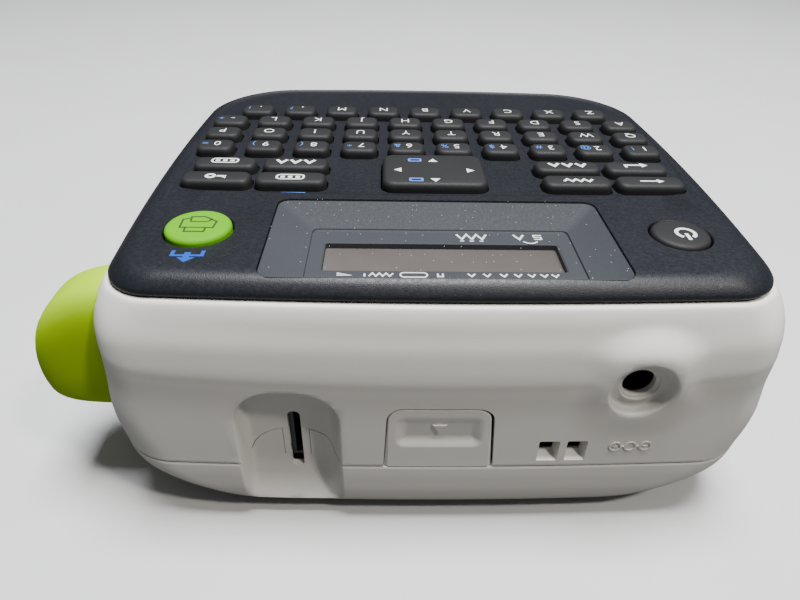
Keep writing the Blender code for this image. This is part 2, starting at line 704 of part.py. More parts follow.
# ---- power --------------------------------------------------------------------------------------
def dc_jack():
    start = (JACK_X, JACK_BACK_Y, JACK_Z)
    body = cylinder(start, JACK_FACE_Y - JACK_BACK_Y, JACK_RADIUS, "Y", 20)
    jack = solid("dc_jack", body, "black_plastic", (JACK_X, JACK_FACE_Y, JACK_Z))
    hole = cylinder((JACK_X, JACK_BACK_Y + 2.0, JACK_Z), 20.0, JACK_HOLE_RADIUS, "Y", 20)
    combine(jack, solid("jack_hole", hole))
    pin = cylinder((JACK_X, JACK_BACK_Y + 1.0, JACK_Z), JACK_FACE_Y - JACK_BACK_Y - 2.0, 0.75, "Y", 10)
    combine(jack, solid("jack_pin", pin), "UNION")


def batteries():
    tray = box((-49.0, -44.0, 8.0), (49.0, -11.2, 17.6))
    holder = solid("battery_tray", tray, "grey_plastic")
    cuts = box((-47.7, -60.0, 0.0), (47.7, 0.0, 16.4))
    combine(holder, solid("tray_channel", cuts))
    corners = bmesh.new()
    for side in (-1, 1):
        low, high = sorted((side * 44.5, side * 60.0))
        box((low, -60.0, 0.0), (high, -39.5, 20.0), shape=corners)
    combine(holder, solid("tray_corners", corners))

    for side, name in ((1, "battery_contacts_right"), (-1, "battery_contacts_left")):
        low, high = sorted((side * 46.6, side * 47.2))
        strip = solid(name, box((low, -40.5, 8.2), (high, -14.0, 14.8)), "steel")
        bumps = bmesh.new()
        for y in CELL_Y:
            start = 45.4 if side > 0 else -46.9
            radii = (1.2, 3.2) if side > 0 else (3.2, 1.2)
            cylinder((start, y, CELL_Z), 1.5, radii[0], "X", 10, radii[1], shape=bumps)
        combine(strip, solid(name + "_bumps", bumps), "UNION")

    number = 0
    for side in (1, -1):
        for i, y in enumerate(CELL_Y):
            number += 1
            cell(f"battery_cell_{number}", side * CELL_MIDDLE_X, y, flip=bool(i % 2))


def cell(name, middle_x, y, flip):
    """A turned can with its positive nub at +Z, then laid along X."""
    half = CELL_LENGTH / 2
    points = ((0.0, half), (1.9, half), (1.9, half - 0.9), (CELL_RADIUS - 0.4, half - 0.9))
    points += ((CELL_RADIUS, half - 1.4), (CELL_RADIUS, -half + 0.4))
    points += ((CELL_RADIUS - 0.4, -half), (0.0, -half))
    shape = bmesh.new()
    corners = [shape.verts.new((radius * MM, 0.0, height * MM)) for radius, height in points]
    for above, below in zip(corners, corners[1:]):
        shape.edges.new((above, below))
    mesh = bpy.data.meshes.new(name)
    shape.to_mesh(mesh)
    shape.free()
    item = bpy.data.objects.new(name, mesh)
    item.location = Vector((middle_x, y, CELL_Z)) * MM
    item.rotation_euler = (0.0, math.radians(-90 if flip else 90), 0.0)
    add_screw(item, 12)
    place(item, "cell_jacket")


# ---- mechanism ----------------------------------------------------------------------------------
def mechanism_plate():
    outline = ((12.0, -14.0), (51.0, -14.0), (51.0, 18.0), (42.0, 18.0), (42.0, 40.0), (12.0, 40.0))
    plate = solid("mechanism_plate", prism(outline, "Z", *PLATE_Z), "steel")
    posts = bmesh.new()
    for place_xy in (DRIVE_PLACE, IDLER_PLACE):
        cylinder((*place_xy, PLATE_Z[0] + 0.3), SHAFT_TOP - PLATE_Z[0] - 0.3, 1.5, sides=12, shape=posts)
    box((36.6, 24.0, 15.5), (37.8, 32.0, PLATE_Z[0] + 0.5), shape=posts)
    combine(plate, solid("plate_posts", posts), "UNION")
    holes = bmesh.new()
    for place_xy in (PLATEN_PLACE, TAKE_UP_PLACE, MOTOR_PLACE):
        cylinder((*place_xy, PLATE_Z[0] - 2), 5.0, 1.8, sides=14, shape=holes)
    combine(plate, solid("plate_holes", holes))


def drive_train():
    can = cylinder((*MOTOR_PLACE, 11.5), 15.7, MOTOR_RADIUS, sides=24)
    solid("drive_motor", can, "steel", (*MOTOR_PLACE, 20.0))

    drive_phase = 0.0
    bored_gear("drive_gear", DRIVE_PLACE, DRIVE_TEETH, drive_phase, 1.8)
    motor_phase = mesh_phase(drive_phase, DRIVE_TEETH, MOTOR_TEETH, MOTOR_ANGLE)
    shafted_gear("motor_pinion", MOTOR_PLACE, MOTOR_TEETH, motor_phase, 1.2, 27.5)
    take_up_phase = mesh_phase(drive_phase, DRIVE_TEETH, TAKE_UP_TEETH, TAKE_UP_ANGLE)
    shafted_gear("ribbon_take_up_spindle", TAKE_UP_PLACE, TAKE_UP_TEETH, take_up_phase, 1.4, 11.5)
    to_idler = bearing(DRIVE_PLACE, IDLER_PLACE)
    idler_phase = mesh_phase(drive_phase, DRIVE_TEETH, IDLER_TEETH, to_idler)
    bored_gear("idler_gear", IDLER_PLACE, IDLER_TEETH, idler_phase, 1.8)
    to_platen = bearing(IDLER_PLACE, PLATEN_PLACE)
    platen_phase = mesh_phase(idler_phase, IDLER_TEETH, PLATEN_TEETH, to_platen)
    shafted_gear("platen_shaft_gear", PLATEN_PLACE, PLATEN_TEETH, platen_phase, 1.4, 9.9)


def printing_parts():
    x, y = PLATEN_PLACE
    rubber = cylinder((x, y, 12.4), 13.4, PLATEN_RADIUS, sides=24)
    sleeve = solid("platen_roller", rubber, "platen_rubber", (x, y, 19))
    combine(sleeve, solid("platen_bore", cylinder((x, y, 10.0), 20.0, 1.7, sides=16)))

    bracket = solid("platen_bracket", box((25.6, 23.0, 9.4), (35.6, 33.0, 27.2)), "steel")
    space = box((20.0, 20.0, 10.6), (34.4, 40.0, 40.0))
    combine(bracket, solid("bracket_space", space))
    combine(bracket, solid("bracket_bore", cylinder((x, y, 8.0), 4.0, 1.8, sides=14)))

    solid("thermal_print_head", box((22.9, 22.0, 12.2), (23.9, 33.0, 26.0)), "display_glass")
    sink = solid("print_head_heat_sink", box((15.6, 21.0, 11.0), (22.6, 34.0, 27.2)), "aluminium")
    grooves = bmesh.new()
    for i in range(4):
        low = 22.6 + 2.9 * i
        box((10.0, low, 9.0), (19.6, low + 1.2, 30.0), shape=grooves)
    combine(sink, solid("heat_sink_grooves", grooves))


def cassette():
    low, high = CASSETTE_Z
    case = solid("cassette_case", prism(CASSETTE_OUTLINE, "Z", low, high), "cassette_plastic")
    inner = inset_outline(CASSETTE_OUTLINE, CASSETTE_WALL)
    combine(case, solid("cassette_hollow", prism(inner, "Z", low - 1, high - CASSETTE_WALL)))
    cuts = cylinder((*TAKE_UP_PLACE, high - 3), 5.0, 2.2, sides=16)
    box((TAPE_X - 0.7, 10.0, TAPE_Z[0] - 0.5), (TAPE_X + 0.7, 18.0, TAPE_Z[1] + 0.5), shape=cuts)
    combine(case, solid("cassette_ports", cuts))
    solid("cassette_lid", prism(CASSETTE_OUTLINE, "Z", low - 1.5, low - GAP), "clear_plastic")

    x, y, radius, bore = TAPE_ROLL
    wound = cylinder((x, y, TAPE_Z[0]), TAPE_WIDTH, radius, sides=32)
    roll = solid("tape_roll", wound, "label_tape", (x, y, 19))
    combine(roll, solid("tape_roll_bore", cylinder((x, y, 8.0), 20.0, bore, sides=20)))
    lead = box((TAPE_X - 0.15, 6.0, TAPE_Z[0]), (TAPE_X + 0.15, TAPE_END_Y, TAPE_Z[1]))
    solid("tape_lead", lead, "label_tape")

    x, y, radius, bore = SUPPLY_SPOOL
    spool = solid("ribbon_supply_spool", cylinder((x, y, 12.0), 13.4, radius), "ribbon_film", (x, y, 19))
    combine(spool, solid("supply_bore", cylinder((x, y, 8.0), 20.0, bore, sides=14)))
    x, y = TAKE_UP_PLACE
    reel = solid("ribbon_take_up_reel", cylinder((x, y, 12.0), 13.4, 4.3), "ribbon_film", (x, y, 19))
    combine(reel, solid("take_up_bore", cylinder((x, y, 8.0), 20.0, 1.7, sides=14)))


def inset_outline(outline, step):
    """Moves each side of a square-cornered outline, drawn anticlockwise, inwards by step."""
    moved = []
    count = len(outline)
    for i, corner in enumerate(outline):
        before = (Vector(corner) - Vector(outline[i - 1])).normalized()
        after = (Vector(outline[(i + 1) % count]) - Vector(corner)).normalized()
        inward = Vector((-before.y, before.x)) + Vector((-after.y, after.x))
        moved.append(tuple(Vector(corner) + inward * step))
    return moved


# ---- cutter -------------------------------------------------------------------------------------
def cutter():
    rings = []
    for y, reach, height in CUTTER_STATIONS:
        ring = []
        for x, z in CUTTER_SECTION:
            out = CUTTER_ROOT_X + (x - CUTTER_ROOT_X) * reach
            ring.append((out, y, CUTTER_MIDDLE_Z + (z - CUTTER_MIDDLE_Z) * height))
        rings.append(ring)
    solid("cutter_button", loft(rings), "green_plastic", (54.0, 32.0, 31.0))

    start = (31.5, BLADE_Y - 1.8, CUTTER_AXIS_Z - 3.0)
    stop = (50.7, BLADE_Y - 0.5, CUTTER_AXIS_Z + 3.0)
    solid("cutter_plunger", box(start, stop), "grey_plastic", (50.0, BLADE_Y, CUTTER_AXIS_Z))

    edge = ((26.2, 12.3), (27.4, 12.3), (35.0, 12.3), (35.0, 25.7), (28.8, 25.7))
    blade = prism(edge, "Y", BLADE_Y - 0.2, BLADE_Y + 0.2)
    solid("cutter_blade", blade, "steel", (30.0, BLADE_Y, CUTTER_AXIS_Z))

    guide = solid("cutter_guide", box((19.0, 39.9, 11.0), (28.5, 45.7, 26.5)), "grey_plastic")
    way = box((TAPE_X - 0.7, 38.0, TAPE_Z[0] - 0.3), (TAPE_X + 0.7, 50.0, TAPE_Z[1] + 0.3))
    combine(guide, solid("guide_slot", way))
    cutter_spring()


def cutter_spring(start=38.2, stop=50.6, y=28.0, radius=2.6, turns=5, per_turn=8):
    """A compression spring along X between the mechanism plate's tab and the button."""
    wire = bpy.data.curves.new("cutter_spring", "CURVE")
    wire.dimensions = "3D"
    wire.bevel_depth = 0.3 * MM
    wire.bevel_resolution = 1
    wire.use_fill_caps = True
    line = wire.splines.new("POLY")
    steps = turns * per_turn
    line.points.add(steps)
    for i, point in enumerate(line.points):
        angle = 2 * math.pi * i / per_turn
        x = start + 0.4 + (stop - start - 0.8) * i / steps
        z = CUTTER_AXIS_Z + 1.5 + radius * math.sin(angle)
        point.co = (x * MM, (y + radius * math.cos(angle)) * MM, z * MM, 1.0)
    place(bpy.data.objects.new("cutter_spring", wire), "steel")


# ---- fasteners ----------------------------------------------------------------------------------
def case_screws():
    neck = DECK_Z[0] - GAP
    for number, (x, y, _) in enumerate(SCREW_PLACES, start=1):
        profile = ((1.8, neck - 2.2), (2.4, neck - 1.6), (2.4, neck))
        profile += ((SCREW_SHANK_RADIUS, neck), (SCREW_SHANK_RADIUS, SCREW_TIP_Z))
        turned(f"case_screw_{number}", profile, (x, y), "steel", 12)


def main():
    clear_scene()
    front_panel()
    main_housing()
    back_cover()
    cover_latch()
    keys()
    buttons()
    display()
    dc_jack()
    batteries()
    mechanism_plate()
    drive_train()
    printing_parts()
    cassette()
    cutter()
    case_screws()


main()
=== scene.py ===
"""Looks of the label maker: fine case shells, keys, legends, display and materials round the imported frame.

Shapes are worked out in millimetres in the frame's own axes: +Z up, +Y to the tape end, +X to the cutter.
"""

import json
import math

import bmesh
import bpy
import numpy as np
from mathutils import Matrix, Vector


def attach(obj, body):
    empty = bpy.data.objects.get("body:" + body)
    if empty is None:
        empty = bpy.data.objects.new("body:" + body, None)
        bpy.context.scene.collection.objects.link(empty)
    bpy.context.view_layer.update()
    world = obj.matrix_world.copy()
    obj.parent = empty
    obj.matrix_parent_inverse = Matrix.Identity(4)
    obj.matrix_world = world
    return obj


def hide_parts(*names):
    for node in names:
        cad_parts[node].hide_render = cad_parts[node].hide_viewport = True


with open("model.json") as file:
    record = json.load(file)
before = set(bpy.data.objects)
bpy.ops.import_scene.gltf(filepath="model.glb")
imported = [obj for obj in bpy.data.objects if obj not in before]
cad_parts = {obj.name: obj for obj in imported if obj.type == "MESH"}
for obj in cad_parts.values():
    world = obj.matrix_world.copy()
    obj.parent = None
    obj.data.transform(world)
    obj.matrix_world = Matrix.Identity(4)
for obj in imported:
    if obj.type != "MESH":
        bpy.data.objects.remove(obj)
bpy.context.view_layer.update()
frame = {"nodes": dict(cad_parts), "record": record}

MM = 0.001

# ---- driving dimensions ----
HALF_WIDTH, NEAR_Y, FAR_Y = 51.7, 46.5, -45.5
SIDE_BOW, NEAR_BOW, FAR_BOW = 2.0, 1.5, 2.5
FAR_RADIUS = 17.0
# Height, outward step of the sides, outward step of the ends, near corner radius.
CASE_PROFILE = (
    *((47.0, 0.5, 0.5, 7.5), (44.5, 1.8, 1.8, 7.3), (41.0, 2.8, 2.8, 7.0), (37.0, 3.2, 3.2, 7.0)),
    *((31.0, 3.5, 3.4, 7.0), (24.0, 4.0, 3.7, 7.0), (17.0, 4.3, 3.9, 9.5), (11.0, 3.8, 4.0, 12.0)),
    *((7.0, 1.6, 3.7, 16.0), (4.0, -1.2, 2.7, 19.0), (2.0, -4.0, 0.9, 21.0), (0.7, -6.7, -1.1, 22.0)),
    (0.0, -9.3, -3.3, 23.0),
)
WALL = 2.0
PARTING_Z = 14.8
RIM_Z = 46.6
DECK_Z = (35.5, 37.0)
CREASE_Z = 33.1

PANEL_TOP, PANEL_UNDER, TONGUE_Z = 50.0, 48.0, 45.2
KEY_FIELD_Y, KEY_FIELD_DEPTH = 18.3, 0.4
KEY_TOP = 51.5
KEY_PITCH = 9.95
LETTER_KEY = (7.5, 5.6)
LETTER_ROWS = ((-24.65, 9), (-17.05, 10), (-9.45, 10), (-1.85, 10))
WIDE_KEYS = (
    ("outer_front_key_right", 41.05, 14.0, 12.9),
    ("inner_front_key_right", 27.15, 14.0, 13.3),
    ("outer_rear_key_right", 40.75, 7.2, 12.1),
    ("inner_rear_key_right", 27.0, 7.2, 12.8),
    ("inner_front_key_left", -27.05, 14.0, 13.0),
    ("outer_front_key_left", -41.05, 14.0, 12.9),
    ("inner_rear_key_left", -26.7, 7.2, 13.0),
    ("outer_rear_key_left", -40.5, 7.2, 12.2),
)
WIDE_KEY_DEPTH = 5.0
NAV_PAD = (0.0, 9.5, 20.0, 14.4)
KEY_RADIUS, NAV_RADIUS = 1.7, 2.2
KEY_WEB_Z = (44.9, 47.2)
HOLE_GAP = 0.25
BUTTON_GAP = 0.28
BUTTONS = (("print_button", 39.9, 32.1, 51.05, 5.4), ("power_button", -39.9, 32.3, 50.6, 4.85))

WINDOW = (-28.4, 20.6, 28.4, 45.6)
BEZEL_INNER = (-23.1, 25.2, 22.1, 42.4)
GLASS = (-20.4, 29.3, 19.6, 37.9)
MODULE = (-23.0, 26.5, 23.0, 43.5)

POCKET_X = (16.6, 33.75)
POCKET_TOP, POCKET_RADIUS = 31.5, 7.0
POCKET_BACK_Y, POCKET_WALL_Y = 47.5, 45.6
SLOT_X, SLOT_Z = (23.65, 25.85), (10.4, 23.8)
RAMP_TOP, RAMP_RADIUS = 19.7, 6.8
TONGUE = (22.25, 26.95, 13.1)
THROAT = (22.4, 9.0, 26.6, 26.0)
POCKET_BLOCK_X = (14.6, 36.2)
# How far each ring of the pocket's scoop lies inside its mouth.
POCKET_INSETS = (-0.6, -0.34, -0.2, -0.06, 0.08, 0.22, 0.36, 0.55, 0.8, 1.1)
POCKET_INSETS += (1.5, 2.0, 2.6, 3.3, 4.1, 5.0, 6.2, 7.4, 8.4)

LATCH_TOP, LATCH_RADIUS = 28.4, 2.6
LATCH_SCOOP = (-7.4, 7.6, 19.6, 26.9)
EYELET_X = ((-20.3, -17.0), (-25.1, -21.8))
EYELET_Z = (16.3, 20.9)
# y, rise of the floor, pinch of the sides.
EYELET_FORM = ((56.0, 0.0, -0.12), (51.55, 0.0, -0.12), (51.3, 0.12, 0.0), (50.0, 1.3, 0.45))
EYELET_FORM += ((44.0, 1.5, 0.5),)
POLARITY = (-32.6, 19.6)
JACK = (-31.25, 33.0)
JACK_RING_Y, JACK_FLOOR_Y = 52.3, 50.5
JACK_RADII = (5.1, 3.3, 2.65)
JACK_LEAN = 0.7
SOCKET_PROFILE = ((38.2, 4.2), (44.0, 4.2), (48.9, 4.2), (49.0, 4.1), (49.0, 2.75))
SOCKET_PROFILE += ((48.8, 2.55), (42.5, 2.55))
PIN_PROFILE = ((42.0, 0.72), (46.4, 0.72), (46.7, 0.6), (46.85, 0.3))

CUTTER_SECTION = (
    *((51.0, 44.3), (55.5, 44.2), (59.4, 43.1), (62.8, 40.9), (65.8, 37.5), (67.8, 33.2)),
    *((68.6, 28.8), (68.4, 24.6), (67.2, 21.5), (63.8, 19.8), (57.5, 19.2), (51.0, 19.0)),
)
# y and size of the cutter button's rounded near end.
CUTTER_NEAR_END = ((43.7, 0.15), (43.62, 0.4), (43.4, 0.6), (43.0, 0.76), (42.4, 0.88))
CUTTER_NEAR_END += ((41.6, 0.96), (40.6, 1.005), (39.0, 1.025), (36.0, 1.03))
CUTTER_MIDDLE_Z = 31.5
CUTTER_ROOT_X, CUTTER_CORE_X = 51.0, 57.0
CUTTER_OPENING = (21.2, 18.6, 44.0, 44.7)
SPRING_BORE = ((28.0, 21.5), 3.3)


# ---- mesh helpers ----
def new_object(name, data):
    item = bpy.data.objects.new(name, data)
    bpy.context.scene.collection.objects.link(item)
    return item


def build(name, shape):
    """Turns a bmesh drawn in millimetres into an object."""
    bmesh.ops.recalc_face_normals(shape, faces=shape.faces)
    bmesh.ops.scale(shape, verts=shape.verts, vec=(MM, MM, MM))
    mesh = bpy.data.meshes.new(name)
    shape.to_mesh(mesh)
    shape.free()
    return new_object(name, mesh)


def combine(target, other, operation="DIFFERENCE"):
    """Applies a Boolean with a bmesh or an object, and removes the other object."""
    if isinstance(other, bmesh.types.BMesh):
        other = build("other", other)
    change = target.modifiers.new("combine", "BOOLEAN")
    change.operation, change.object = operation, other
    graph = bpy.context.evaluated_depsgraph_get()
    mesh = bpy.data.meshes.new_from_object(target.evaluated_get(graph))
    target.modifiers.clear()
    target.data = mesh
    bpy.data.objects.remove(other, do_unlink=True)


def piece(item, body, finish, *nodes, sharp=32.0, slot=""):
    """Shades a piece, gives it its finish and rides it."""
    item.data.materials.clear()
    item.data.materials.append(FINISHES[finish])
    item.data.shade_smooth()
    item.data.set_sharp_from_angle(angle=math.radians(sharp))
    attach(item, body)
    if nodes:
        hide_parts(*nodes)
    slot = finish if slot == "" else slot


def loft(rings, closed=False, shape=None):
    """Joins rings of as many points, with flat ends unless the last ring meets the first."""
    shape = shape or bmesh.new()
    rows = [[shape.verts.new(point) for point in ring] for ring in rings]
    pairs = list(zip(rows, rows[1:])) + ([(rows[-1], rows[0])] if closed else [])
    for lower, upper in pairs:
        for i in range(len(lower)):
            j = (i + 1) % len(lower)
            shape.faces.new((lower[i], lower[j], upper[j], upper[i]))
    if not closed:
        shape.faces.new(rows[0])
        shape.faces.new(rows[-1])
    return shape


def stack(levels, closed=False, shape=None):
    """A loft through level outlines, given as pairs of an outline and its height."""
    return loft([[(x, y, height) for x, y in outline] for outline, height in levels], closed, shape)


def arc(centre, radius, start, stop, steps):
    """Points on an arc between two angles in degrees."""
    turn = np.radians(np.linspace(start, stop, steps + 1))
    return [(centre[0] + radius * math.cos(a), centre[1] + radius * math.sin(a)) for a in turn]


def circle(centre, radius, steps=64):
    return arc(centre, radius, 0, 360, steps)[:-1]


def turned(centre, profile, steps):
    """A body turned about a line along Y, from pairs of y and radius."""
    return loft([[(x, y, z) for x, z in circle(centre, radius, steps)] for y, radius in profile])


def around(x, y, half_x, half_y):
    return (x - half_x, y - half_y, x + half_x, y + half_y)


def grown(box, amount):
    return (box[0] - amount, box[1] - amount, box[2] + amount, box[3] + amount)


def corners(box):
    low_x, low_y, high_x, high_y = box
    return ((low_x, low_y), (high_x, low_y), (high_x, high_y), (low_x, high_y))


def rounded(box, radius, steps=6):
    """A box's outline with round corners, anticlockwise from the high corner."""
    low_x, low_y, high_x, high_y = grown(box, -radius)
    points = []
    for start, x, y in ((0, high_x, high_y), (90, low_x, high_y), (180, low_x, low_y), (270, high_x, low_y)):
        points += arc((x, y), radius, start, start + 90, steps)
    return points


def round_top(left, right, top, radius, steps=10):
    """The two upper corners of an outline, from right to left."""
    points = arc((right - radius, top - radius), radius, 0, 90, steps)
    return points + arc((left + radius, top - radius), radius, 90, 180, steps)


def prism(outline, axis, start, stop, shape=None):
    """A straight body along an axis; its outline gives the other two coordinates."""
    place = "XYZ".index(axis)
    rings = [[(*point[:place], level, *point[place:]) for point in outline] for level in (start, stop)]
    return loft(rings, shape=shape)


def step(low, high, value):
    """0 below low, 1 above high and smooth between."""
    share = np.clip((value - low) / (high - low), 0.0, 1.0)
    return share * share * (3 - 2 * share)


def hermite(t, start, stop, start_slope, stop_slope):
    """A point at share t of a smooth curve from start to stop."""
    curve = (2 * t**3 - 3 * t**2 + 1) * start + (t**3 - 2 * t**2 + t) * start_slope
    return curve + (3 * t**2 - 2 * t**3) * stop + (t**3 - t**2) * stop_slope


def smooth_line(points, per_span=5):
    """A finer open line on a curve through points."""
    points = np.array(points, float)
    slopes = np.vstack([points[1] - points[0], (points[2:] - points[:-2]) / 2, points[-1] - points[-2]])
    line = []
    for i in range(len(points) - 1):
        for t in np.arange(per_span) / per_span:
            line.append(hermite(t, points[i], points[i + 1], slopes[i], slopes[i + 1]))
    return line + [points[-1]]


# ---- the case's surface ----
def fine_profile():
    """The case profile, sampled finely: heights, then side, end and radius."""
    rows = np.array(CASE_PROFILE[::-1])
    heights, values = rows[:, 0], rows[:, 1:]
    slopes = np.gradient(values, heights, axis=0)
    samples = np.linspace(0.0, heights[-1], 941)
    left = np.clip(np.searchsorted(heights, samples) - 1, 0, len(heights) - 2)
    gap = (heights[left + 1] - heights[left])[:, None]
    t = (samples - heights[left])[:, None] / gap
    return samples, hermite(t, values[left], values[left + 1], gap * slopes[left], gap * slopes[left + 1])


PROFILE_Z, PROFILE = fine_profile()


def case_steps(height):
    """The side step, end step and near corner radius at a height."""
    return [np.interp(height, PROFILE_Z, PROFILE[:, column]) for column in range(3)]


def case_outline(side, end, near_radius, end_y=NEAR_Y):
    """The case outline in X and Y as an array, anticlockwise from the right near corner."""
    near_steps, far_steps, edge_steps = 14, 20, 54
    half = HALF_WIDTH + side
    near, far = end_y + end, FAR_Y - end
    far_radius = max(FAR_RADIUS + side / 2, 3.0)
    points = []
    ends = ((near - near_radius, near_radius, near_steps), (far + far_radius, far_radius, far_steps))
    for quarter, sign in enumerate((1, -1, -1, 1)):
        centre_y, radius, steps = ends[quarter // 2]
        corner = arc((sign * (half - radius), centre_y), radius, quarter * 90, quarter * 90 + 90, steps)
        if points:
            points += list(np.linspace(points[-1], corner[0], edge_steps)[1:-1])
        points += corner
    points += list(np.linspace(points[-1], points[0], edge_steps)[1:-1])
    points = np.array(points)
    middle, half_length = (near + far) / 2, (near - far) / 2
    across, along = points[:, 0] / half, (points[:, 1] - middle) / half_length
    bow = np.where(along > 0, NEAR_BOW, FAR_BOW)
    points[:, 0] += SIDE_BOW * (1 - along**2) * across
    points[:, 1] += bow * (1 - across**2) * along
    return points


def outward(points):
    """The outline's outward unit normals."""
    along = np.roll(points, -1, 0) - np.roll(points, 1, 0)
    normal = np.stack([along[:, 1], -along[:, 0]], 1)
    return normal / np.linalg.norm(normal, axis=1, keepdims=True)


def under_jack(z):
    """0 from the middle of the power inlet up, rising to 1 at its lower edge."""
    return step(1.0, -5.5, z - JACK[1])


def relief(x, y, z, facing):
    """How far the surface stands proud of the plain form: the crease and the inlet's hump."""
    above = z - (CREASE_Z + 0.0007 * x**2 + 1.2 * step(43.0, 55.0, np.abs(x)))
    near = step(0.5, 0.9, facing)
    upper = 0.42 * np.exp(-((above / 4.4) ** 2)) - 0.32 * np.exp(-(((above - 9.4) / 2.8) ** 2))
    lower = 0.42 * np.exp(-((above / 4.6) ** 2))
    side = -0.14 * np.exp(-np.abs(above) / 7.0) * step(-1.2, 1.2, -above)
    edge = 0.09 * (step(-0.7, 0.7, above) - 0.5)
    crease = (side + (np.where(above > 0, upper, lower) + edge - side) * near) * step(5.0, 38.0, y)
    reach = np.hypot(x - JACK[0], z - JACK[1])
    spread = 8.9 + 2.3 * step(2.0, 7.0, z - JACK[1]) + 4.0 * under_jack(z)
    ring_y = JACK_RING_Y - JACK_LEAN * under_jack(z)
    hump = np.maximum(ring_y - (y + crease), 0.0) * (1 - step(6.0, spread, reach))
    return crease + hump * step(0.6, 0.85, facing)


def case_ring(height, inset=0.0, level=None):
    """One ring of the outer surface, inset, drawn at a level."""
    side, end, radius = case_steps(height)
    points = case_outline(side - inset, end - inset, max(radius - inset, 2.0))
    normals = outward(points)
    proud = relief(points[:, 0], points[:, 1], height, normals[:, 1]) if inset < 1.0 else 0.0
    points = points + normals * np.reshape(proud, (-1, 1))
    return [(x, y, height if level is None else level) for x, y in points]


def near_y(x, z):
    """The outer surface's y on the near end."""
    side, end, _ = case_steps(z)
    plain = NEAR_Y + end + NEAR_BOW * (1 - (x / (HALF_WIDTH + side)) ** 2)
    return plain + relief(np.asarray(x, float), plain, z, 1.0)


def sheet_block(x_range, z_range, size, front, back_y):
    """A closed block from back_y to the surface y = front(x, z), sampled on a grid."""
    spans = [np.linspace(low, high, int((high - low) / size)) for low, high in (x_range, z_range)]
    grid_x, grid_z = np.meshgrid(*spans)
    count_z, count_x = grid_x.shape
    shape = bmesh.new()
    rows = zip(grid_x, front(grid_x, grid_z), grid_z)
    face = [[shape.verts.new(point) for point in zip(*row)] for row in rows]
    back = [[shape.verts.new((v.co.x, back_y, v.co.z)) for v in row] for row in (face[0], face[-1])]
    for j in range(count_z - 1):
        for i in range(count_x - 1):
            shape.faces.new((face[j][i], face[j][i + 1], face[j + 1][i + 1], face[j + 1][i]))
    for edge, flat in zip((face[0], face[-1]), back):
        for i in range(count_x - 1):
            shape.faces.new((edge[i], edge[i + 1], flat[i + 1], flat[i]))
    for side in (0, -1):
        shape.faces.new([row[side] for row in face] + [back[1][side], back[0][side]])
    shape.faces.new(back[0] + back[1][::-1])
    return shape


def arch_line(low_x, high_x, low_z, high_z, radius):
    """An arch from its right foot over the top to its left foot."""
    uprights, bends, crown = 40, 14, 10
    sides = np.linspace(low_z, high_z - radius, uprights)
    points = [(high_x, z) for z in sides[:-1]]
    points += arc((high_x - radius, high_z - radius), radius, 0, 90, bends)
    points += [(x, high_z) for x in np.linspace(high_x - radius, low_x + radius, crown)[1:-1]]
    points += arc((low_x + radius, high_z - radius), radius, 90, 180, bends)
    return points + [(low_x, z) for z in sides[::-1][1:]]


# ---- near end features ----
def pocket_back(z):
    """y of the pocket's back wall, which flares out to the case's lower edge."""
    return POCKET_BACK_Y + 3.5 * (np.clip(12.5 - z, 0, None) / 9.2) ** 1.7


def pocket_cutter():
    """A scoop with a filleted mouth, steep on the right and above, softer on the left."""
    fillet, steep, softer, clear_y = 0.34, 1.5, 1.7, 62.0
    middle = sum(POCKET_X) / 2
    rings = []
    for inset in POCKET_INSETS:
        radius = max(POCKET_RADIUS - inset, 0.1)
        line = arch_line(POCKET_X[0] + inset, POCKET_X[1] - inset, -1.0, POCKET_TOP - inset, radius)
        soft = inset if inset > fillet else max(inset + fillet, 0.0) ** 2 / (4 * fillet)
        ring = []
        for x, z in line:
            across = np.clip((middle - x) / 6.0, -1, 1)
            width = steep + softer * step(0.0, 1.0, across) * (1 - step(23.0, 30.5, z))
            share = 1 - (1 - min(soft / width, 1.0)) ** 2.1
            surface = near_y(x, max(z, 0.0))
            back = min(float(pocket_back(z)), surface)
            ring.append((x, surface + (back - surface) * share + (1.5 if inset < -0.5 else 0.0), z))
        rings.append(ring)
    rings.insert(0, [(x, clear_y, z) for x, _, z in rings[0]])
    shape = loft(rings)
    shape.faces.ensure_lookup_table()
    last = list(shape.faces[-1].verts)
    shape.faces.remove(shape.faces[-1])
    for i in range(len(last) // 2 - 1):
        shape.faces.new((last[i], last[i + 1], last[-2 - i], last[-1 - i]))
    return shape


def latch_outline(grow=0.0, extra_left=0.0):
    """The tab's outline in X and Z, wider at its foot."""
    right, left = 8.75 + grow, -8.3 - grow - extra_left
    low = PARTING_Z - 3.0 if grow else PARTING_Z + 0.12
    points = round_top(left, right, LATCH_TOP + grow, LATCH_RADIUS + grow)
    return points + [(left - 0.95, low), (right + 0.6, low)]


def slot_outline():
    """The tape slot, round at the top, with small round corners below."""
    (low_x, high_x), (low_z, high_z), small = SLOT_X, SLOT_Z, 0.4
    points = round_top(low_x, high_x, high_z, (high_x - low_x) / 2 - 0.02, 6)
    points += arc((low_x + small, low_z + small), small, 180, 270, 3)
    return points + arc((high_x - small, low_z + small), small, 270, 360, 3)


def ramp_outline(inset=0.0):
    """The cover's ramp in the pocket, 0.9 mm inside the pocket's sides."""
    low_x, high_x, low_z = POCKET_X[0] + 0.9 + inset, POCKET_X[1] - 0.9 - inset, PARTING_Z - 2.2
    top = round_top(low_x, high_x, RAMP_TOP - inset, RAMP_RADIUS - inset, 14)
    return [(low_x, low_z), (high_x, low_z), *top]


def cutter_fall(y):
    """How far the cutter button's top has sloped down at y, as a share of its height."""
    return 0.6 * (np.clip(35.0 - y, 0, None) / 13.2) ** 1.15


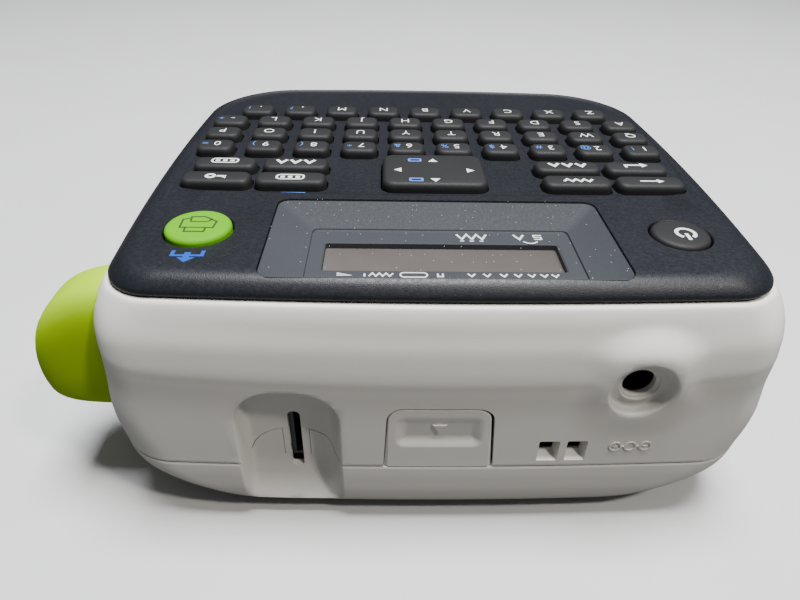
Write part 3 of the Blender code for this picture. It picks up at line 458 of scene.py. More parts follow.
def end_cutters():
    """The latch, eyelet, power inlet and cutter openings, as one set of separate bodies."""
    shape = bmesh.new()
    prism(latch_outline(0.19, 0.27), "Y", 44.0, 60.0, shape=shape)
    for low_x, high_x in EYELET_X:
        rings = []
        for y, rise, pinch in EYELET_FORM:
            box = (low_x + pinch, EYELET_Z[0] + rise, high_x - pinch, EYELET_Z[1] - pinch / 2)
            rings.append([(x, y, z) for x, z in rounded(box, 0.25, 2)])
        loft(rings, shape=shape)
    wide, middle, hole = JACK_RADII
    ring_y, floor_y = JACK_RING_Y, JACK_FLOOR_Y
    profile = [(60.0, wide + 0.65), (ring_y + 0.02, wide + 0.6), (ring_y - 0.1, wide + 0.28)]
    profile += [(ring_y - 0.3, wide + 0.1), (ring_y - 0.6, wide), (floor_y + 0.5, wide - 0.2)]
    profile += [(floor_y + 0.15, wide - 0.4), (floor_y, wide - 0.85), (floor_y - 0.05, middle)]
    profile += [(floor_y - 0.45, middle - 0.15), (floor_y - 0.5, hole + 0.15)]
    profile += [(floor_y - 0.65, hole), (36.0, hole)]
    rings = []
    for y, radius in profile:
        lean = JACK_LEAN * (radius > middle)
        ring = circle(JACK, radius)
        rings.append([(x, y - lean * under_jack(z), z - 0.7 * lean * under_jack(z)) for x, z in ring])
    loft(rings, shape=shape)
    low_y, low_z, high_y, high_z = CUTTER_OPENING
    opening = [(low_y, low_z), (high_y, low_z), (high_y, high_z)]
    for y in np.linspace(35.0, low_y, 9):
        opening.append((y, CUTTER_MIDDLE_Z + (high_z - CUTTER_MIDDLE_Z) * (1.01 - cutter_fall(y))))
    return prism(opening, "X", 44.3, 62.0, shape=shape)


def cut_throat(shell):
    """Opens the hollow behind the pocket's back wall and the slot that leads into it."""
    combine(shell, prism(corners(THROAT), "Y", 40.0, POCKET_BACK_Y - 1.0))
    combine(shell, prism(slot_outline(), "Y", 40.0, 60.0))


def parting_edge(height, away):
    """Rings of a shell's bevelled edge at the parting line; away is 1 or -1, off the line."""
    levels = ((WALL, 0.0), (0.3, 0.0), (0.08, 0.05), (0.0, 0.22))
    return [case_ring(height, inset, height + rise * away) for inset, rise in levels]


def housing_shell():
    low = PARTING_Z + 0.1
    rings = [case_ring(height, WALL) for height in (DECK_Z[0], 31.0, 24.0, 19.0)]
    rings += parting_edge(low, 1)
    rings += [case_ring(height) for height in np.arange(15.6, 45.7, 0.6)]
    for height, inset in ((46.1, 0.0), (46.35, 0.05), (46.52, 0.16), (RIM_Z, 0.4), (RIM_Z, 1.5)):
        rings.append(case_ring(height, inset))
    rings.append([(x, y, 44.5) for x, y, _ in rings[-1]])
    rings += [case_ring(41.0, WALL), case_ring(DECK_Z[1], WALL)]
    shell = build("housing_shell", loft(rings))

    blocks = bmesh.new()
    pocket_box = (POCKET_BLOCK_X[0], low, POCKET_BLOCK_X[1], POCKET_TOP + 2.2)
    prism(corners(pocket_box), "Y", POCKET_WALL_Y, 50.2, shape=blocks)
    prism(circle(JACK, 6.6, 32), "Y", 46.0, 50.3, shape=blocks)
    combine(shell, blocks, "UNION")
    combine(shell, pocket_cutter())
    combine(shell, end_cutters())
    combine(shell, prism(ramp_outline(-0.1), "Y", POCKET_BACK_Y - 0.4, 60.0))
    low_x, high_x, foot = TONGUE
    island = corners((low_x + 0.1, foot + 0.1, high_x - 0.1, RAMP_TOP))
    combine(shell, prism(island, "Y", POCKET_BACK_Y - 0.6, POCKET_BACK_Y), "UNION")
    cut_throat(shell)
    piece(shell, "case", "white_plastic", "main_housing")


def cover_shell():
    top = PARTING_Z - 0.1
    rings = [case_ring(2.9, WALL, 2.2), *(case_ring(height, WALL) for height in (4.0, 7.0, 11.0))]
    rings += parting_edge(top, -1)
    rings += [case_ring(height) for height in np.arange(14.2, 2.0, -0.45)]
    rings += [case_ring(height) for height in (1.8, 1.45, 1.1, 0.8, 0.55, 0.35, 0.18, 0.06, 0.0)]
    shell = build("cover_shell", loft(rings))
    inside = ((POCKET_WALL_Y, 2.4), (48.0, 2.4), (49.2, 3.8), (50.2, 6.0), (50.2, top), (POCKET_WALL_Y, top))
    combine(shell, prism(inside, "X", *POCKET_BLOCK_X), "UNION")
    combine(shell, pocket_cutter())

    tongue = build("tongue", prism(ramp_outline(0.03), "Y", POCKET_BACK_Y - 0.32, 51.9))
    combine(tongue, pocket_cutter())
    combine(shell, tongue, "UNION")
    low_x, high_x, foot = TONGUE
    combine(shell, prism(corners((low_x, foot, high_x, 30.0)), "Y", 40.0, 60.0))
    cut_throat(shell)
    piece(shell, "cover", "white_plastic", "back_cover")


def latch_face(x, z):
    """The tab's face with a soft finger scoop, deepest at its lower lip."""
    low_x, high_x, low_z, high_z = LATCH_SCOOP
    half, corner = (high_x - low_x) / 2, 1.9
    across = np.abs(x - (low_x + high_x) / 2) - half + corner
    upright = corner - np.minimum(z - low_z, high_z - z)
    outside = np.hypot(np.maximum(across, 0), np.maximum(upright, 0))
    inner = corner - np.where((across > 0) & (upright > 0), outside, np.maximum(across, upright))
    depth = 0.98 * step(0.0, 2.3, inner) * (1 - 0.75 * np.clip((z - low_z) / (high_z - low_z), 0, 1))
    return near_y(x, z) - 0.03 - depth


def latch_tab():
    tab = sheet_block((-10.2, 10.2), (PARTING_Z - 0.4, LATCH_TOP + 0.4), 0.12, latch_face, 49.9)
    tab = build("latch_tab", tab)
    form = ((40.0, 0.0), (51.0, 0.0), (51.25, 0.03), (51.45, 0.1), (51.6, 0.24), (51.75, 0.5), (52.3, 1.4))
    rings = []
    for y, inset in form:
        rings.append([(x * (1 - inset / 9.0), y, z - inset * (z > 20)) for x, z in latch_outline()])
    combine(tab, loft(rings), "INTERSECT")
    piece(tab, "latch", "white_plastic", "cover_latch", sharp=24.0)

    rings = []
    for proud, grow in ((-0.3, 0.14), (0.02, 0.14), (0.33, 0.0), (0.33, -0.25)):
        wing, top = grow * 1.7, 24.6 + grow
        outline = ((-0.9 - wing, top), (1.2 + wing, top), (0.15, 22.5 - grow * 2.0))
        rings.append([(x, float(latch_face(x, z)) + proud, z) for x, z in outline])
    piece(build("latch_arrow", loft(rings)), "latch", "white_plastic", sharp=24.0)


def polarity_mark():
    """Raised symbol under the power inlet: minus, plug and plus signs joined by lines."""
    shape = bmesh.new()
    for x in (-2.6, 0.0, 2.6):
        ring_of(shape, (x, 0.0), 0.95, 0.22)
    for start, stop in ((-1.65, -0.95), (0.95, 1.65), (2.2, 3.0), (-3.0, -2.2)):
        stroke(shape, ((start, 0.0), (stop, 0.0)), 0.22)
    stroke(shape, ((2.6, -0.4), (2.6, 0.4)), 0.22)
    for vert in shape.verts:
        x, z, lift = vert.co + Vector((*POLARITY, 0.0))
        vert.co = (x, float(near_y(x, z)) - 0.25 + (0.42 if lift > 0 else 0.0), z)
    piece(build("polarity_mark", shape), "case", "white_plastic")


# ---- flat marks ----
def plate(shape, outline):
    """A flat plate with the outline in X and Y, from z 0 to 1."""
    prism(outline, "Z", 0.0, 1.0, shape=shape)


def shift(shape, x, y):
    """Moves marks drawn round the origin to their place."""
    bmesh.ops.translate(shape, verts=shape.verts, vec=(x, y, 0.0))


def stroke(shape, points, width):
    """A line of even width, mitred at its joints."""
    line = [Vector(point) for point in points]
    left, right = [], []
    for i, point in enumerate(line):
        before = (point - line[max(i - 1, 0)]).normalized()
        after = (line[min(i + 1, len(line) - 1)] - point).normalized()
        along = (before + after).normalized()
        if along.length < 0.5:
            along = after
        widen = max(along.dot(after if after.length > 0.5 else before), 0.5)
        side = Vector((-along.y, along.x)) * width / 2 / widen
        left.append(tuple(point + side))
        right.append(tuple(point - side))
    plate(shape, left + right[::-1])


def band(shape, outer, inner):
    """A flat closed band between two outlines of as many points."""
    stack(((outer, 0.0), (outer, 1.0), (inner, 1.0), (inner, 0.0)), closed=True, shape=shape)


def ring_of(shape, centre, radius, width):
    band(shape, circle(centre, radius + width / 2, 24), circle(centre, radius - width / 2, 24))


def text_plates(shape, words, centre, size):
    """Adds letters, upright towards +Y and centred, as flat plates."""
    curve = bpy.data.curves.new("letters", "FONT")
    curve.body, curve.size = words, size
    curve.align_x = curve.align_y = "CENTER"
    curve.resolution_u, curve.extrude = 3, 0.5
    item = new_object("letters", curve)
    graph = bpy.context.evaluated_depsgraph_get()
    mesh = bpy.data.meshes.new_from_object(item.evaluated_get(graph))
    mesh.transform(Matrix.Translation((centre[0], centre[1], 0.5)))
    shape.from_mesh(mesh)
    bpy.data.objects.remove(item, do_unlink=True)


def mark(name, shape, height, body, finish, thickness=0.03):
    """Lays plates drawn from z 0 to 1 on a surface at a height."""
    bmesh.ops.remove_doubles(shape, verts=shape.verts, dist=0.0005)
    for vert in shape.verts:
        vert.co.z = height + thickness * (vert.co.z - 0.3)
    piece(build(name, shape), body, finish, sharp=30.0, slot=None)


# ---- panel, keys and display ----
def panel_shell():
    levels = ((PANEL_UNDER, 3.2), (TONGUE_Z, 2.8), (TONGUE_Z, 1.4), (46.9, 1.4), (46.9, 0.35))
    levels += ((46.95, 0.2), (47.1, 0.05), (47.4, 0.0), (47.7, 0.06), (48.0, 0.22), (48.4, 0.5), (48.8, 0.85))
    levels += ((49.2, 1.25), (49.5, 1.65), (49.74, 2.1), (49.9, 2.65), (49.98, 3.3), (PANEL_TOP, 4.1))
    panel = stack([(case_outline(-inset, -inset, 7.0), height) for height, inset in levels])
    panel = build("panel_shell", panel)

    levels = ((49.6, 4.8), (49.62, 4.3), (49.7, 3.9), (49.85, 3.5), (PANEL_TOP + 0.02, 3.2), (53.0, 3.2))
    end_y = KEY_FIELD_Y + 3.6 - NEAR_BOW
    combine(panel, stack([(case_outline(-inset, -inset, 5.0, end_y), height) for height, inset in levels]))

    holes = bmesh.new()
    for x, y, width, depth, radius in key_places():
        box, corner = around(x, y, width / 2 + HOLE_GAP, depth / 2 + HOLE_GAP), radius + HOLE_GAP
        flare = ((47.0, 0.0), (49.4, 0.0), (49.53, 0.02), (49.59, 0.09), (50.6, 0.1))
        stack([(rounded(grown(box, grow), corner + grow, 5), height) for height, grow in flare], shape=holes)
    for _, x, y, _, radius in BUTTONS:
        flare = ((47.0, 0.0), (49.6, 0.0), (49.85, 0.04), (49.98, 0.16), (50.6, 0.2))
        stack([(circle((x, y), radius + BUTTON_GAP + grow), height) for height, grow in flare], shape=holes)
    combine(panel, holes)

    combine(panel, prism(rounded(grown(WINDOW, 0.12), 2.2), "Z", 48.9, 53.0))
    combine(panel, prism(rounded(grown(WINDOW, -0.3), 1.8), "Z", 40.0, 53.0))
    piece(panel, "case", "charcoal_plastic", "front_panel", sharp=28.0)


def key_places():
    """Middle, width, depth and corner radius of every key."""
    for middle_y, count in LETTER_ROWS:
        for i in range(count):
            yield ((i - (count - 1) / 2) * KEY_PITCH, middle_y, *LETTER_KEY, KEY_RADIUS)
    for _, x, y, width in WIDE_KEYS:
        yield (x, y, width, WIDE_KEY_DEPTH, KEY_RADIUS)
    yield (*NAV_PAD, NAV_RADIUS)


def key_cap(shape, x, y, width, depth, radius):
    """A soft key: upright sides, rounded shoulders and a slightly crowned top."""
    levels = [(KEY_WEB_Z[0] + 0.6, 0.0), (KEY_TOP - 1.3, 0.0)]
    for turn in np.radians((20, 40, 58, 74, 86)):
        levels.append((KEY_TOP - 1.05 + 0.95 * math.sin(turn), 0.85 * (1 - math.cos(turn)) + 0.05))
    levels += [(KEY_TOP - 0.06, 1.4), (KEY_TOP - 0.01, 1.9)]
    rings = []
    for height, inset in levels:
        box = around(x, y, width / 2 - inset, depth / 2 - inset)
        rings.append((rounded(box, max(radius - inset * 0.7, 0.35), 5), height))
    stack(rings, shape=shape)


def web(shape, x, y, half_x, half_y):
    """The mat that joins keys under the panel."""
    prism(rounded(around(x, y, half_x, half_y), 0.5, 2), "Z", *KEY_WEB_Z, shape=shape)


ROW_LETTERS = ("ZXCVBNM,.", "ASDFGHJKL-", "QWERTYUIOP", "1234567890")
ROW_SYMBOLS = ("       ?!", "         +", "          ", "!@#$%&*()=")


def single_key(item_name, name, x, y, width, depth, radius):
    cap = bmesh.new()
    web(cap, x, y, width / 2, depth / 2 + 0.5)
    key_cap(cap, x, y, width, depth, radius)
    piece(build(item_name, cap), f"{name}_body", "key_rubber", name, sharp=50.0)


def letter_keys():
    for row, (middle_y, count) in enumerate(LETTER_ROWS, 1):
        places = [(i - (count - 1) / 2) * KEY_PITCH for i in range(count)]
        letters, symbols = ROW_LETTERS[row - 1], ROW_SYMBOLS[row - 1]
        body = f"letter_keys_row_{row}_body"
        caps = bmesh.new()
        web(caps, 0.0, middle_y, places[-1] + LETTER_KEY[0] / 2 + 0.3, LETTER_KEY[1] / 2 + 0.5)
        for x in places:
            key_cap(caps, x, middle_y, *LETTER_KEY, KEY_RADIUS)
        piece(build(f"letter_keys_{row}", caps), body, "key_rubber", f"letter_keys_row_{row}", sharp=50.0)
        white, blue = bmesh.new(), bmesh.new()
        for x, letter, symbol in zip(places, letters, symbols):
            paired = symbol != " "
            text_plates(white, letter, (x - (0.5 if paired else 0.0), middle_y), 3.0)
            if paired:
                text_plates(blue, symbol, (x + 2.0, middle_y), 2.4)
        mark(f"letters_{row}", white, KEY_TOP, body, "legend_white")
        if symbols.strip():
            mark(f"symbols_{row}", blue, KEY_TOP, body, "legend_blue")


def wide_key_icons():
    """One drawing function for each wide key, as bold marks round the origin."""

    def peaks(shape):
        for x in (-2.7, 0.0, 2.7):
            stroke(shape, ((x - 1.0, -0.7), (x, 0.75), (x + 1.0, -0.7)), 0.62)

    def label(shape):
        band(shape, rounded((-2.7, -1.15, 2.7, 1.15), 0.9, 3), rounded((-2.3, -0.75, 2.3, 0.75), 0.5, 3))
        for x in (-1.4, 0.0, 1.4):
            plate(shape, rounded(around(x, 0.0, 0.42, 0.42), 0.15, 2))

    def hook(shape):
        stroke(shape, ((2.2, 0.9), (2.2, -0.2), (-0.9, -0.2)), 0.55)
        plate(shape, ((-2.3, -0.2), (-0.9, 0.8), (-0.9, -1.2)))

    def badge(shape):
        ring_of(shape, (0.9, 0.0), 0.72, 0.6)
        stroke(shape, ((-0.25, 0.0), (-2.0, 0.0)), 0.6)
        plate(shape, ((-1.2, 0.4), (-2.0, 0.4), (-2.0, 1.0)))

    def waves(shape):
        stroke(shape, [(0.8 * i - 2.8, 0.5 if i % 2 else -0.5) for i in range(8)], 0.5)

    def arrow(shape):
        stroke(shape, ((2.2, 0.0), (-1.2, 0.0)), 0.45)
        plate(shape, ((-2.4, 0.0), (-1.1, 0.8), (-1.1, -0.8)))

    return (badge, label, label, peaks, waves, arrow, peaks, hook)


def wide_keys():
    for (name, x, y, width), draw in zip(WIDE_KEYS, wide_key_icons()):
        single_key(f"{name}_cap", name, x, y, width, WIDE_KEY_DEPTH, KEY_RADIUS)
        icon = bmesh.new()
        draw(icon)
        shift(icon, x, y + (0.45 if "front" in name else 0.0))
        mark(f"{name}_icon", icon, KEY_TOP, f"{name}_body", "legend_white")


def navigation_pad():
    single_key("navigation_cap", "navigation_pad", *NAV_PAD, NAV_RADIUS)
    white, blue = bmesh.new(), bmesh.new()
    for turn, reach in ((0, 6.9), (90, 4.4), (180, 6.9), (270, 4.6)):
        rotate = Matrix.Rotation(math.radians(turn), 2)
        outline = ((reach + 0.9, 0.0), (reach - 0.6, 0.95), (reach - 0.6, -0.95))
        plate(white, [tuple(rotate @ Vector(point)) for point in outline])
    for side in (4.4, -4.8):
        box = around(3.6, side, 1.35, 0.8)
        band(blue, rounded(box, 0.3, 2), rounded(grown(box, -0.42), 0.3, 2))
    for name, shape, finish in (("arrows", white, "legend_white"), ("marks", blue, "legend_blue")):
        shift(shape, NAV_PAD[0], NAV_PAD[1] + 1.1)
        mark(f"navigation_{name}", shape, KEY_TOP, "navigation_pad_body", finish)


def round_buttons():
    for (name, x, y, top, wide), finish in zip(BUTTONS, ("green_rubber", "key_rubber")):
        profile = [(6.3, KEY_WEB_Z[0]), (6.3, 46.4), (wide, 46.4), (wide, top - 0.95)]
        for turn in np.radians((15, 35, 55, 75)):
            profile.append((wide - 0.8 * (1 - math.cos(turn)), top - 0.95 + 0.8 * math.sin(turn)))
        profile += [(wide - 1.1, top - 0.1), (wide - 2.2, top - 0.04), (1.6, top), (0.5, top)]
        cap = stack([(circle((x, y), radius), height) for radius, height in profile])
        piece(build(f"{name}_cap", cap), f"{name}_body", finish, name, sharp=50.0)
    (_, x, y, top, _), (_, power_x, power_y, power_top, _) = BUTTONS
    icon = bmesh.new()
    stroke(icon, ((-1.5, -0.75), (-1.9, -1.7), (-0.6, -2.5), (1.5, -2.4), (1.3, -0.75), (-1.4, -0.75)), 0.32)
    stroke(icon, ((-1.9, -1.6), (-2.9, -0.9), (-2.7, 1.2), (2.6, 1.2), (2.7, -1.5), (1.6, -1.9)), 0.32)
    stroke(icon, ((-1.6, 1.3), (-1.5, 2.5), (1.6, 2.5), (1.7, 1.3)), 0.32)
    shift(icon, x, y)
    mark("print_icon", icon, top - 0.03, "print_button_body", "icon_dark", 0.06)
    icon = bmesh.new()
    stroke(icon, arc((0.0, 0.0), 1.5, 122.0, 418.0, 30), 0.62)
    stroke(icon, ((0.0, 0.1), (0.0, 2.2)), 0.6)
    shift(icon, power_x - 0.5, power_y + 0.5)
    mark("power_icon", icon, power_top - 0.02, "power_button_body", "legend_white", 0.08)


def printed_marks():
    """Blue marks printed on the panel: a cut sign by the print button and labels by two wide keys."""
    icon = bmesh.new()
    half = ((0.0, 1.8), (1.4, 0.4), (0.5, 0.4), (0.5, 0.08), (2.6, 0.08))
    half += ((2.6, -1.6), (2.0, -1.6), (2.0, -0.45), (0.5, -0.45), (0.5, -1.1))
    plate(icon, [*half, *((-x, y) for x, y in half[:0:-1])])
    shift(icon, 39.7, 40.4)
    mark("cut_sign", icon, PANEL_TOP, "case", "icon_blue", 0.04)
    labels = bmesh.new()
    for y, half_width in ((17.35, 2.3), (10.6, 2.6)):
        plate(labels, corners(around(26.5, y, half_width, 0.3)))
    mark("key_labels", labels, PANEL_TOP - KEY_FIELD_DEPTH, "case", "legend_blue", 0.04)


def display():
    levels = ((49.78, 0.08), (49.82, 0.0), (49.95, 0.0), (50.08, 0.06), (50.14, 0.22), (50.15, 0.5))
    pane = stack([(rounded(grown(WINDOW, -inset), 2.0 - inset / 2, 8), height) for height, inset in levels])
    piece(build("window_pane", pane), "case", "clear_plastic", "lcd_window", sharp=40.0)

    x0, y0, x1, y1 = BEZEL_INNER
    levels = (
        (grown(WINDOW, -0.35), 1.8, 47.6),
        (grown(WINDOW, -0.35), 1.8, 48.95),
        (grown(WINDOW, -0.02), 2.0, 48.95),
        (grown(WINDOW, -0.02), 2.0, 49.66),
        (grown(WINDOW, -0.1), 1.9, 49.72),
        ((x0 - 0.35, y0 - 0.4, x1 + 0.35, y1 + 0.35), 1.3, 46.55),
        ((x0 - 0.1, y0 - 0.12, x1 + 0.1, y1 + 0.1), 1.1, 46.5),
        (BEZEL_INNER, 1.0, 46.15),
        (grown(GLASS, 0.25), 0.5, 46.12),
        (GLASS, 0.4, 45.95),
        (GLASS, 0.4, 45.02),
    )
    bezel = stack([(rounded(box, radius, 5), height) for box, radius, height in levels], closed=True)
    piece(build("display_bezel", bezel), "case", "bezel_grey", "lcd_bezel", slot="grey_plastic", sharp=25.0)

    levels = ((MODULE, 42.4), (MODULE, 44.9), (grown(MODULE, -0.3), 44.98))
    glass = stack([(rounded(box, 0.6, 3), height) for box, height in levels])
    piece(build("display_glass", glass), "case", "display_glass", "lcd_module", sharp=40.0)

    icons = bmesh.new()
    stroke(icons, [(-3.2 - 0.88 * i, 27.9 if i % 2 else 26.2) for i in range(7)], 0.4)
    for x in (-4.4, -6.1, -7.8):
        stroke(icons, ((x, 28.5), (x + 0.7, 28.5)), 0.3)
    stroke(icons, ((-13.3, 26.2), (-14.2, 27.8), (-15.1, 26.2)), 0.42)
    hook = ((-18.3, 26.3), (-16.9, 26.3), (-16.9, 27.0), (-18.1, 27.0), (-18.1, 27.7), (-16.8, 27.7))
    stroke(icons, hook, 0.32)
    stroke(icons, arc((-16.0, 27.6), 1.5, 35, 145, 10), 0.32)
    mark("display_icons", icons, 46.18, "case", "legend_white", 0.05)
    ticks = bmesh.new()
    stroke(ticks, ((17.0, 39.0), (14.8, 39.6), (17.0, 39.6)), 0.32)
    stroke(ticks, ((12.6, 39.1), (12.6, 39.9)), 0.32)
    stroke(ticks, [(11.9 - 0.55 * i, 38.9 if i % 2 else 39.8) for i in range(8)], 0.28)
    stroke(ticks, rounded((2.6, 38.7, 6.9, 40.0), 0.63, 4), 0.28)
    stroke(ticks, ((0.9, 38.9), (0.9, 39.8), (0.1, 39.8), (0.1, 38.9)), 0.3)
    for x in (-3.9, -6.4, -9.1, -11.4, -13.6, -15.6, -17.4):
        stroke(ticks, ((x, 38.9), (x - 0.6, 39.7), (x - 1.2, 38.9)), 0.32)
    mark("display_ticks", ticks, 46.18, "case", "legend_white", 0.05)


def inlet():
    """The power inlet: a turned socket with a hollow and a centre pin."""
    socket = build("inlet_socket", turned(JACK, SOCKET_PROFILE, 40))
    piece(socket, "case", "black_plastic", "dc_jack", sharp=35.0)
    piece(build("inlet_pin", turned(JACK, PIN_PROFILE, 24)), "case", "steel", sharp=35.0)


def knob_ring(section, y, middle_x, reach, top, bottom):
    """The cutter button's section at y, with shares of its reach and of its height up and down."""
    ring = []
    for x, z in section:
        height = top if z > CUTTER_MIDDLE_Z else bottom
        ring.append((middle_x + (x - middle_x) * reach, y, CUTTER_MIDDLE_Z + (z - CUTTER_MIDDLE_Z) * height))
    return ring


def cutter_knob():
    section = smooth_line(CUTTER_SECTION)
    rings = [knob_ring(section, y, CUTTER_CORE_X, size, size, size) for y, size in CUTTER_NEAR_END]
    for y in np.linspace(34.5, 21.8, 14):
        reach = 1.025 - 0.6 * (np.clip(30.0 - y, 0, None) / 8.2) ** 2.6
        rings.append(knob_ring(section, y, CUTTER_ROOT_X, reach, 1.02 - cutter_fall(y), 1.02))
    item = build("cutter_knob", loft(rings))
    combine(item, prism(circle(*SPRING_BORE, 32), "X", 48.0, 55.8))
    piece(item, "cutter", "green_plastic", "cutter_button", sharp=40.0)


# ---- materials ----
class Nodes:
    """Short names for building the node tree of one material or world."""

    def __init__(self, owner, shader="Principled BSDF"):
        owner.use_nodes = True
        self.owner = owner
        self.tree = owner.node_tree
        self.shader = self.tree.nodes[shader]
        self.place = self.add("ShaderNodeTexCoord").outputs["Object"]

    def give(self, name, source, node=None):
        """Feeds an input of the shader, or of another node, with a socket or a plain value."""
        target = (node or self.shader).inputs[name]
        if isinstance(source, bpy.types.NodeSocket):
            self.tree.links.new(source, target)
        else:
            target.default_value = source

    def add(self, kind, values=None, **settings):
        """Adds a node; values holds what its inputs are given."""
        node = self.tree.nodes.new(kind)
        for name, setting in settings.items():
            setattr(node, name, setting)
        for name, source in (values or {}).items():
            self.give(name, source, node)
        return node

    def noise(self, size, detail=3.0, roughness=0.5):
        """Noise whose features are about size millimetres across."""
        values = {"Scale": 1.0 / (size * MM), "Detail": detail, "Roughness": roughness, "Vector": self.place}
        return self.add("ShaderNodeTexNoise", values).outputs["Fac"]

    def ramp(self, source, *stops):
        """Colours at stops along a value."""
        node = self.add("ShaderNodeValToRGB", {"Fac": source})
        elements = node.color_ramp.elements
        while len(elements) < len(stops):
            elements.new(0.5)
        for element, (position, colour) in zip(elements, stops):
            element.position = position
            element.color = (*colour, 1.0)
        return node.outputs["Color"]

    def spread(self, source, low, high, low_in=0.3, high_in=0.7):
        """Maps a value from one range to another."""
        values = {"Value": source, "From Min": low_in, "From Max": high_in, "To Min": low, "To Max": high}
        return self.add("ShaderNodeMapRange", values).outputs["Result"]

    def combine(self, operation, first, second):
        return self.add("ShaderNodeMath", {0: first, 1: second}, operation=operation).outputs["Value"]

    def dust(self, spacing, size, scarcity):
        """Dust specks of a size in millimetres, on the cells whose tone passes the scarcity."""
        values = {"Scale": 1.0 / (spacing * MM), "Vector": self.place}
        cells = self.add("ShaderNodeTexVoronoi", values, voronoi_dimensions="2D").outputs
        speck = self.spread(cells["Distance"], 1.0, 0.0, size / spacing / 2, size / spacing)
        chosen = self.spread(cells["Color"], 0.0, 1.0, scarcity, scarcity + 0.02)
        return self.combine("MULTIPLY", speck, chosen)

    def blend(self, factor, first, second):
        """Colours mixed by a factor; the second is a plain tuple."""
        values = {"Factor": factor, 6: first, 7: (*second, 1.0)}
        return self.add("ShaderNodeMix", values, data_type="RGBA").outputs[2]

    def bump(self, source, depth):
        """Bump of a depth in millimetres."""
        return self.add("ShaderNodeBump", {"Height": source, "Distance": depth * MM}).outputs["Normal"]

    def surface(self, factor, first, second):
        """Shows a mix of two shaders."""
        mix = self.add("ShaderNodeMixShader", {"Fac": factor, 1: first, 2: second})
        self.give("Surface", mix.outputs["Shader"], self.tree.nodes["Material Output"])


def new_material(name):
    return Nodes(bpy.data.materials.new(name))


def tone(colour, factor):
    return tuple(min(channel * factor, 1.0) for channel in colour)


def moulded(name, colour, roughness, grain=0.35, depth=0.012, variation=0.05, specular=0.5):
    """Moulded plastic or rubber: faint blotches, a fine eroded grain and uneven gloss."""
    nodes = new_material(name)
    broad = nodes.noise(14.0, 4.0)
    fine = nodes.noise(grain, 2.0, 0.6)
    tint = nodes.ramp(broad, (0.3, tone(colour, 1 - variation)), (0.7, tone(colour, 1 + variation)))
    nodes.give("Base Color", tint)
    nodes.give("Roughness", nodes.spread(fine, roughness - 0.07, roughness + 0.07))
    nodes.give("Normal", nodes.bump(fine, depth))
    nodes.give("Specular IOR Level", specular)
    return nodes.owner


def printed(name, colour):
    """Screen-printed ink with slightly uneven cover."""
    nodes = new_material(name)
    cover = nodes.noise(0.25, 3.0, 0.7)
    nodes.give("Base Color", nodes.ramp(cover, (0.3, tone(colour, 0.82)), (0.6, colour)))
    nodes.give("Roughness", 0.5)
    return nodes.owner


def metal(name, colour, roughness):
    """Metal with fine lines along one direction."""
    nodes = new_material(name)
    stretch = nodes.add("ShaderNodeMapping", {"Vector": nodes.place, "Scale": (1.0, 12.0, 1.0)})
    values = {"Scale": 1.0 / (1.8 * MM), "Vector": stretch.outputs["Vector"]}
    lines = nodes.add("ShaderNodeTexNoise", values).outputs["Fac"]
    nodes.give("Base Color", nodes.ramp(lines, (0.3, tone(colour, 0.9)), (0.7, colour)))
    nodes.give("Roughness", nodes.spread(lines, roughness - 0.08, roughness + 0.08))
    nodes.give("Normal", nodes.bump(lines, 0.004))
    nodes.give("Metallic", 1.0)
    return nodes.owner


def speckled_panel():
    """Dark spark-eroded plastic whose grain glints where it turns to the light, with a little dust."""
    nodes = new_material("panel_plastic")
    colour = (0.0070, 0.0078, 0.0108)
    broad, fine, coarse = nodes.noise(20.0, 3.0), nodes.noise(0.22, 2.0, 0.7), nodes.noise(0.6, 2.0)
    tint = nodes.ramp(broad, (0.3, tone(colour, 0.9)), (0.7, tone(colour, 1.15)))
    nodes.give("Base Color", nodes.blend(nodes.dust(2.4, 0.06, 0.64), tint, (0.07, 0.07, 0.08)))
    nodes.give("Roughness", nodes.spread(coarse, 0.36, 0.5))
    nodes.give("Normal", nodes.bump(fine, 0.035))
    nodes.give("Specular IOR Level", 0.30)
    return nodes.owner


def clear_pane():
    """Clear glossy plastic: mostly see-through, with a mirror-like skin and a few dust specks."""
    nodes = new_material("clear_pane")
    nodes.give("Base Color", (0.85, 0.86, 0.88, 1.0))
    nodes.give("Roughness", 0.06)
    nodes.give("IOR", 1.5)
    fresnel = nodes.add("ShaderNodeFresnel", {"IOR": 1.5})
    specks = nodes.spread(nodes.dust(2.1, 0.085, 0.6), 0.0, 0.5, 0.0, 1.0)
    nodes.give("Metallic", nodes.spread(specks, 1.0, 0.0, 0.0, 0.4))
    together = nodes.combine("MAXIMUM", fresnel.outputs["Fac"], specks)
    outside = nodes.combine("SUBTRACT", 1.0, nodes.add("ShaderNodeNewGeometry").outputs["Backfacing"])
    clear = nodes.add("ShaderNodeBsdfTransparent").outputs["BSDF"]
    nodes.surface(nodes.combine("MULTIPLY", together, outside), clear, nodes.shader.outputs["BSDF"])
    return nodes.owner


def board_finish():
    """Green solder mask with faint tracks."""
    nodes = new_material("circuit_board")
    values = {"Vector": nodes.place, "Scale": 260.0, "Mortar Size": 0.03}
    values["Color1"], values["Color2"] = (0.01, 0.12, 0.05, 1.0), (0.012, 0.15, 0.06, 1.0)
    values["Mortar"] = (0.03, 0.24, 0.1, 1.0)
    nodes.give("Base Color", nodes.add("ShaderNodeTexBrick", values).outputs["Color"])
    nodes.give("Roughness", nodes.spread(nodes.noise(0.8), 0.3, 0.45))
    return nodes.owner


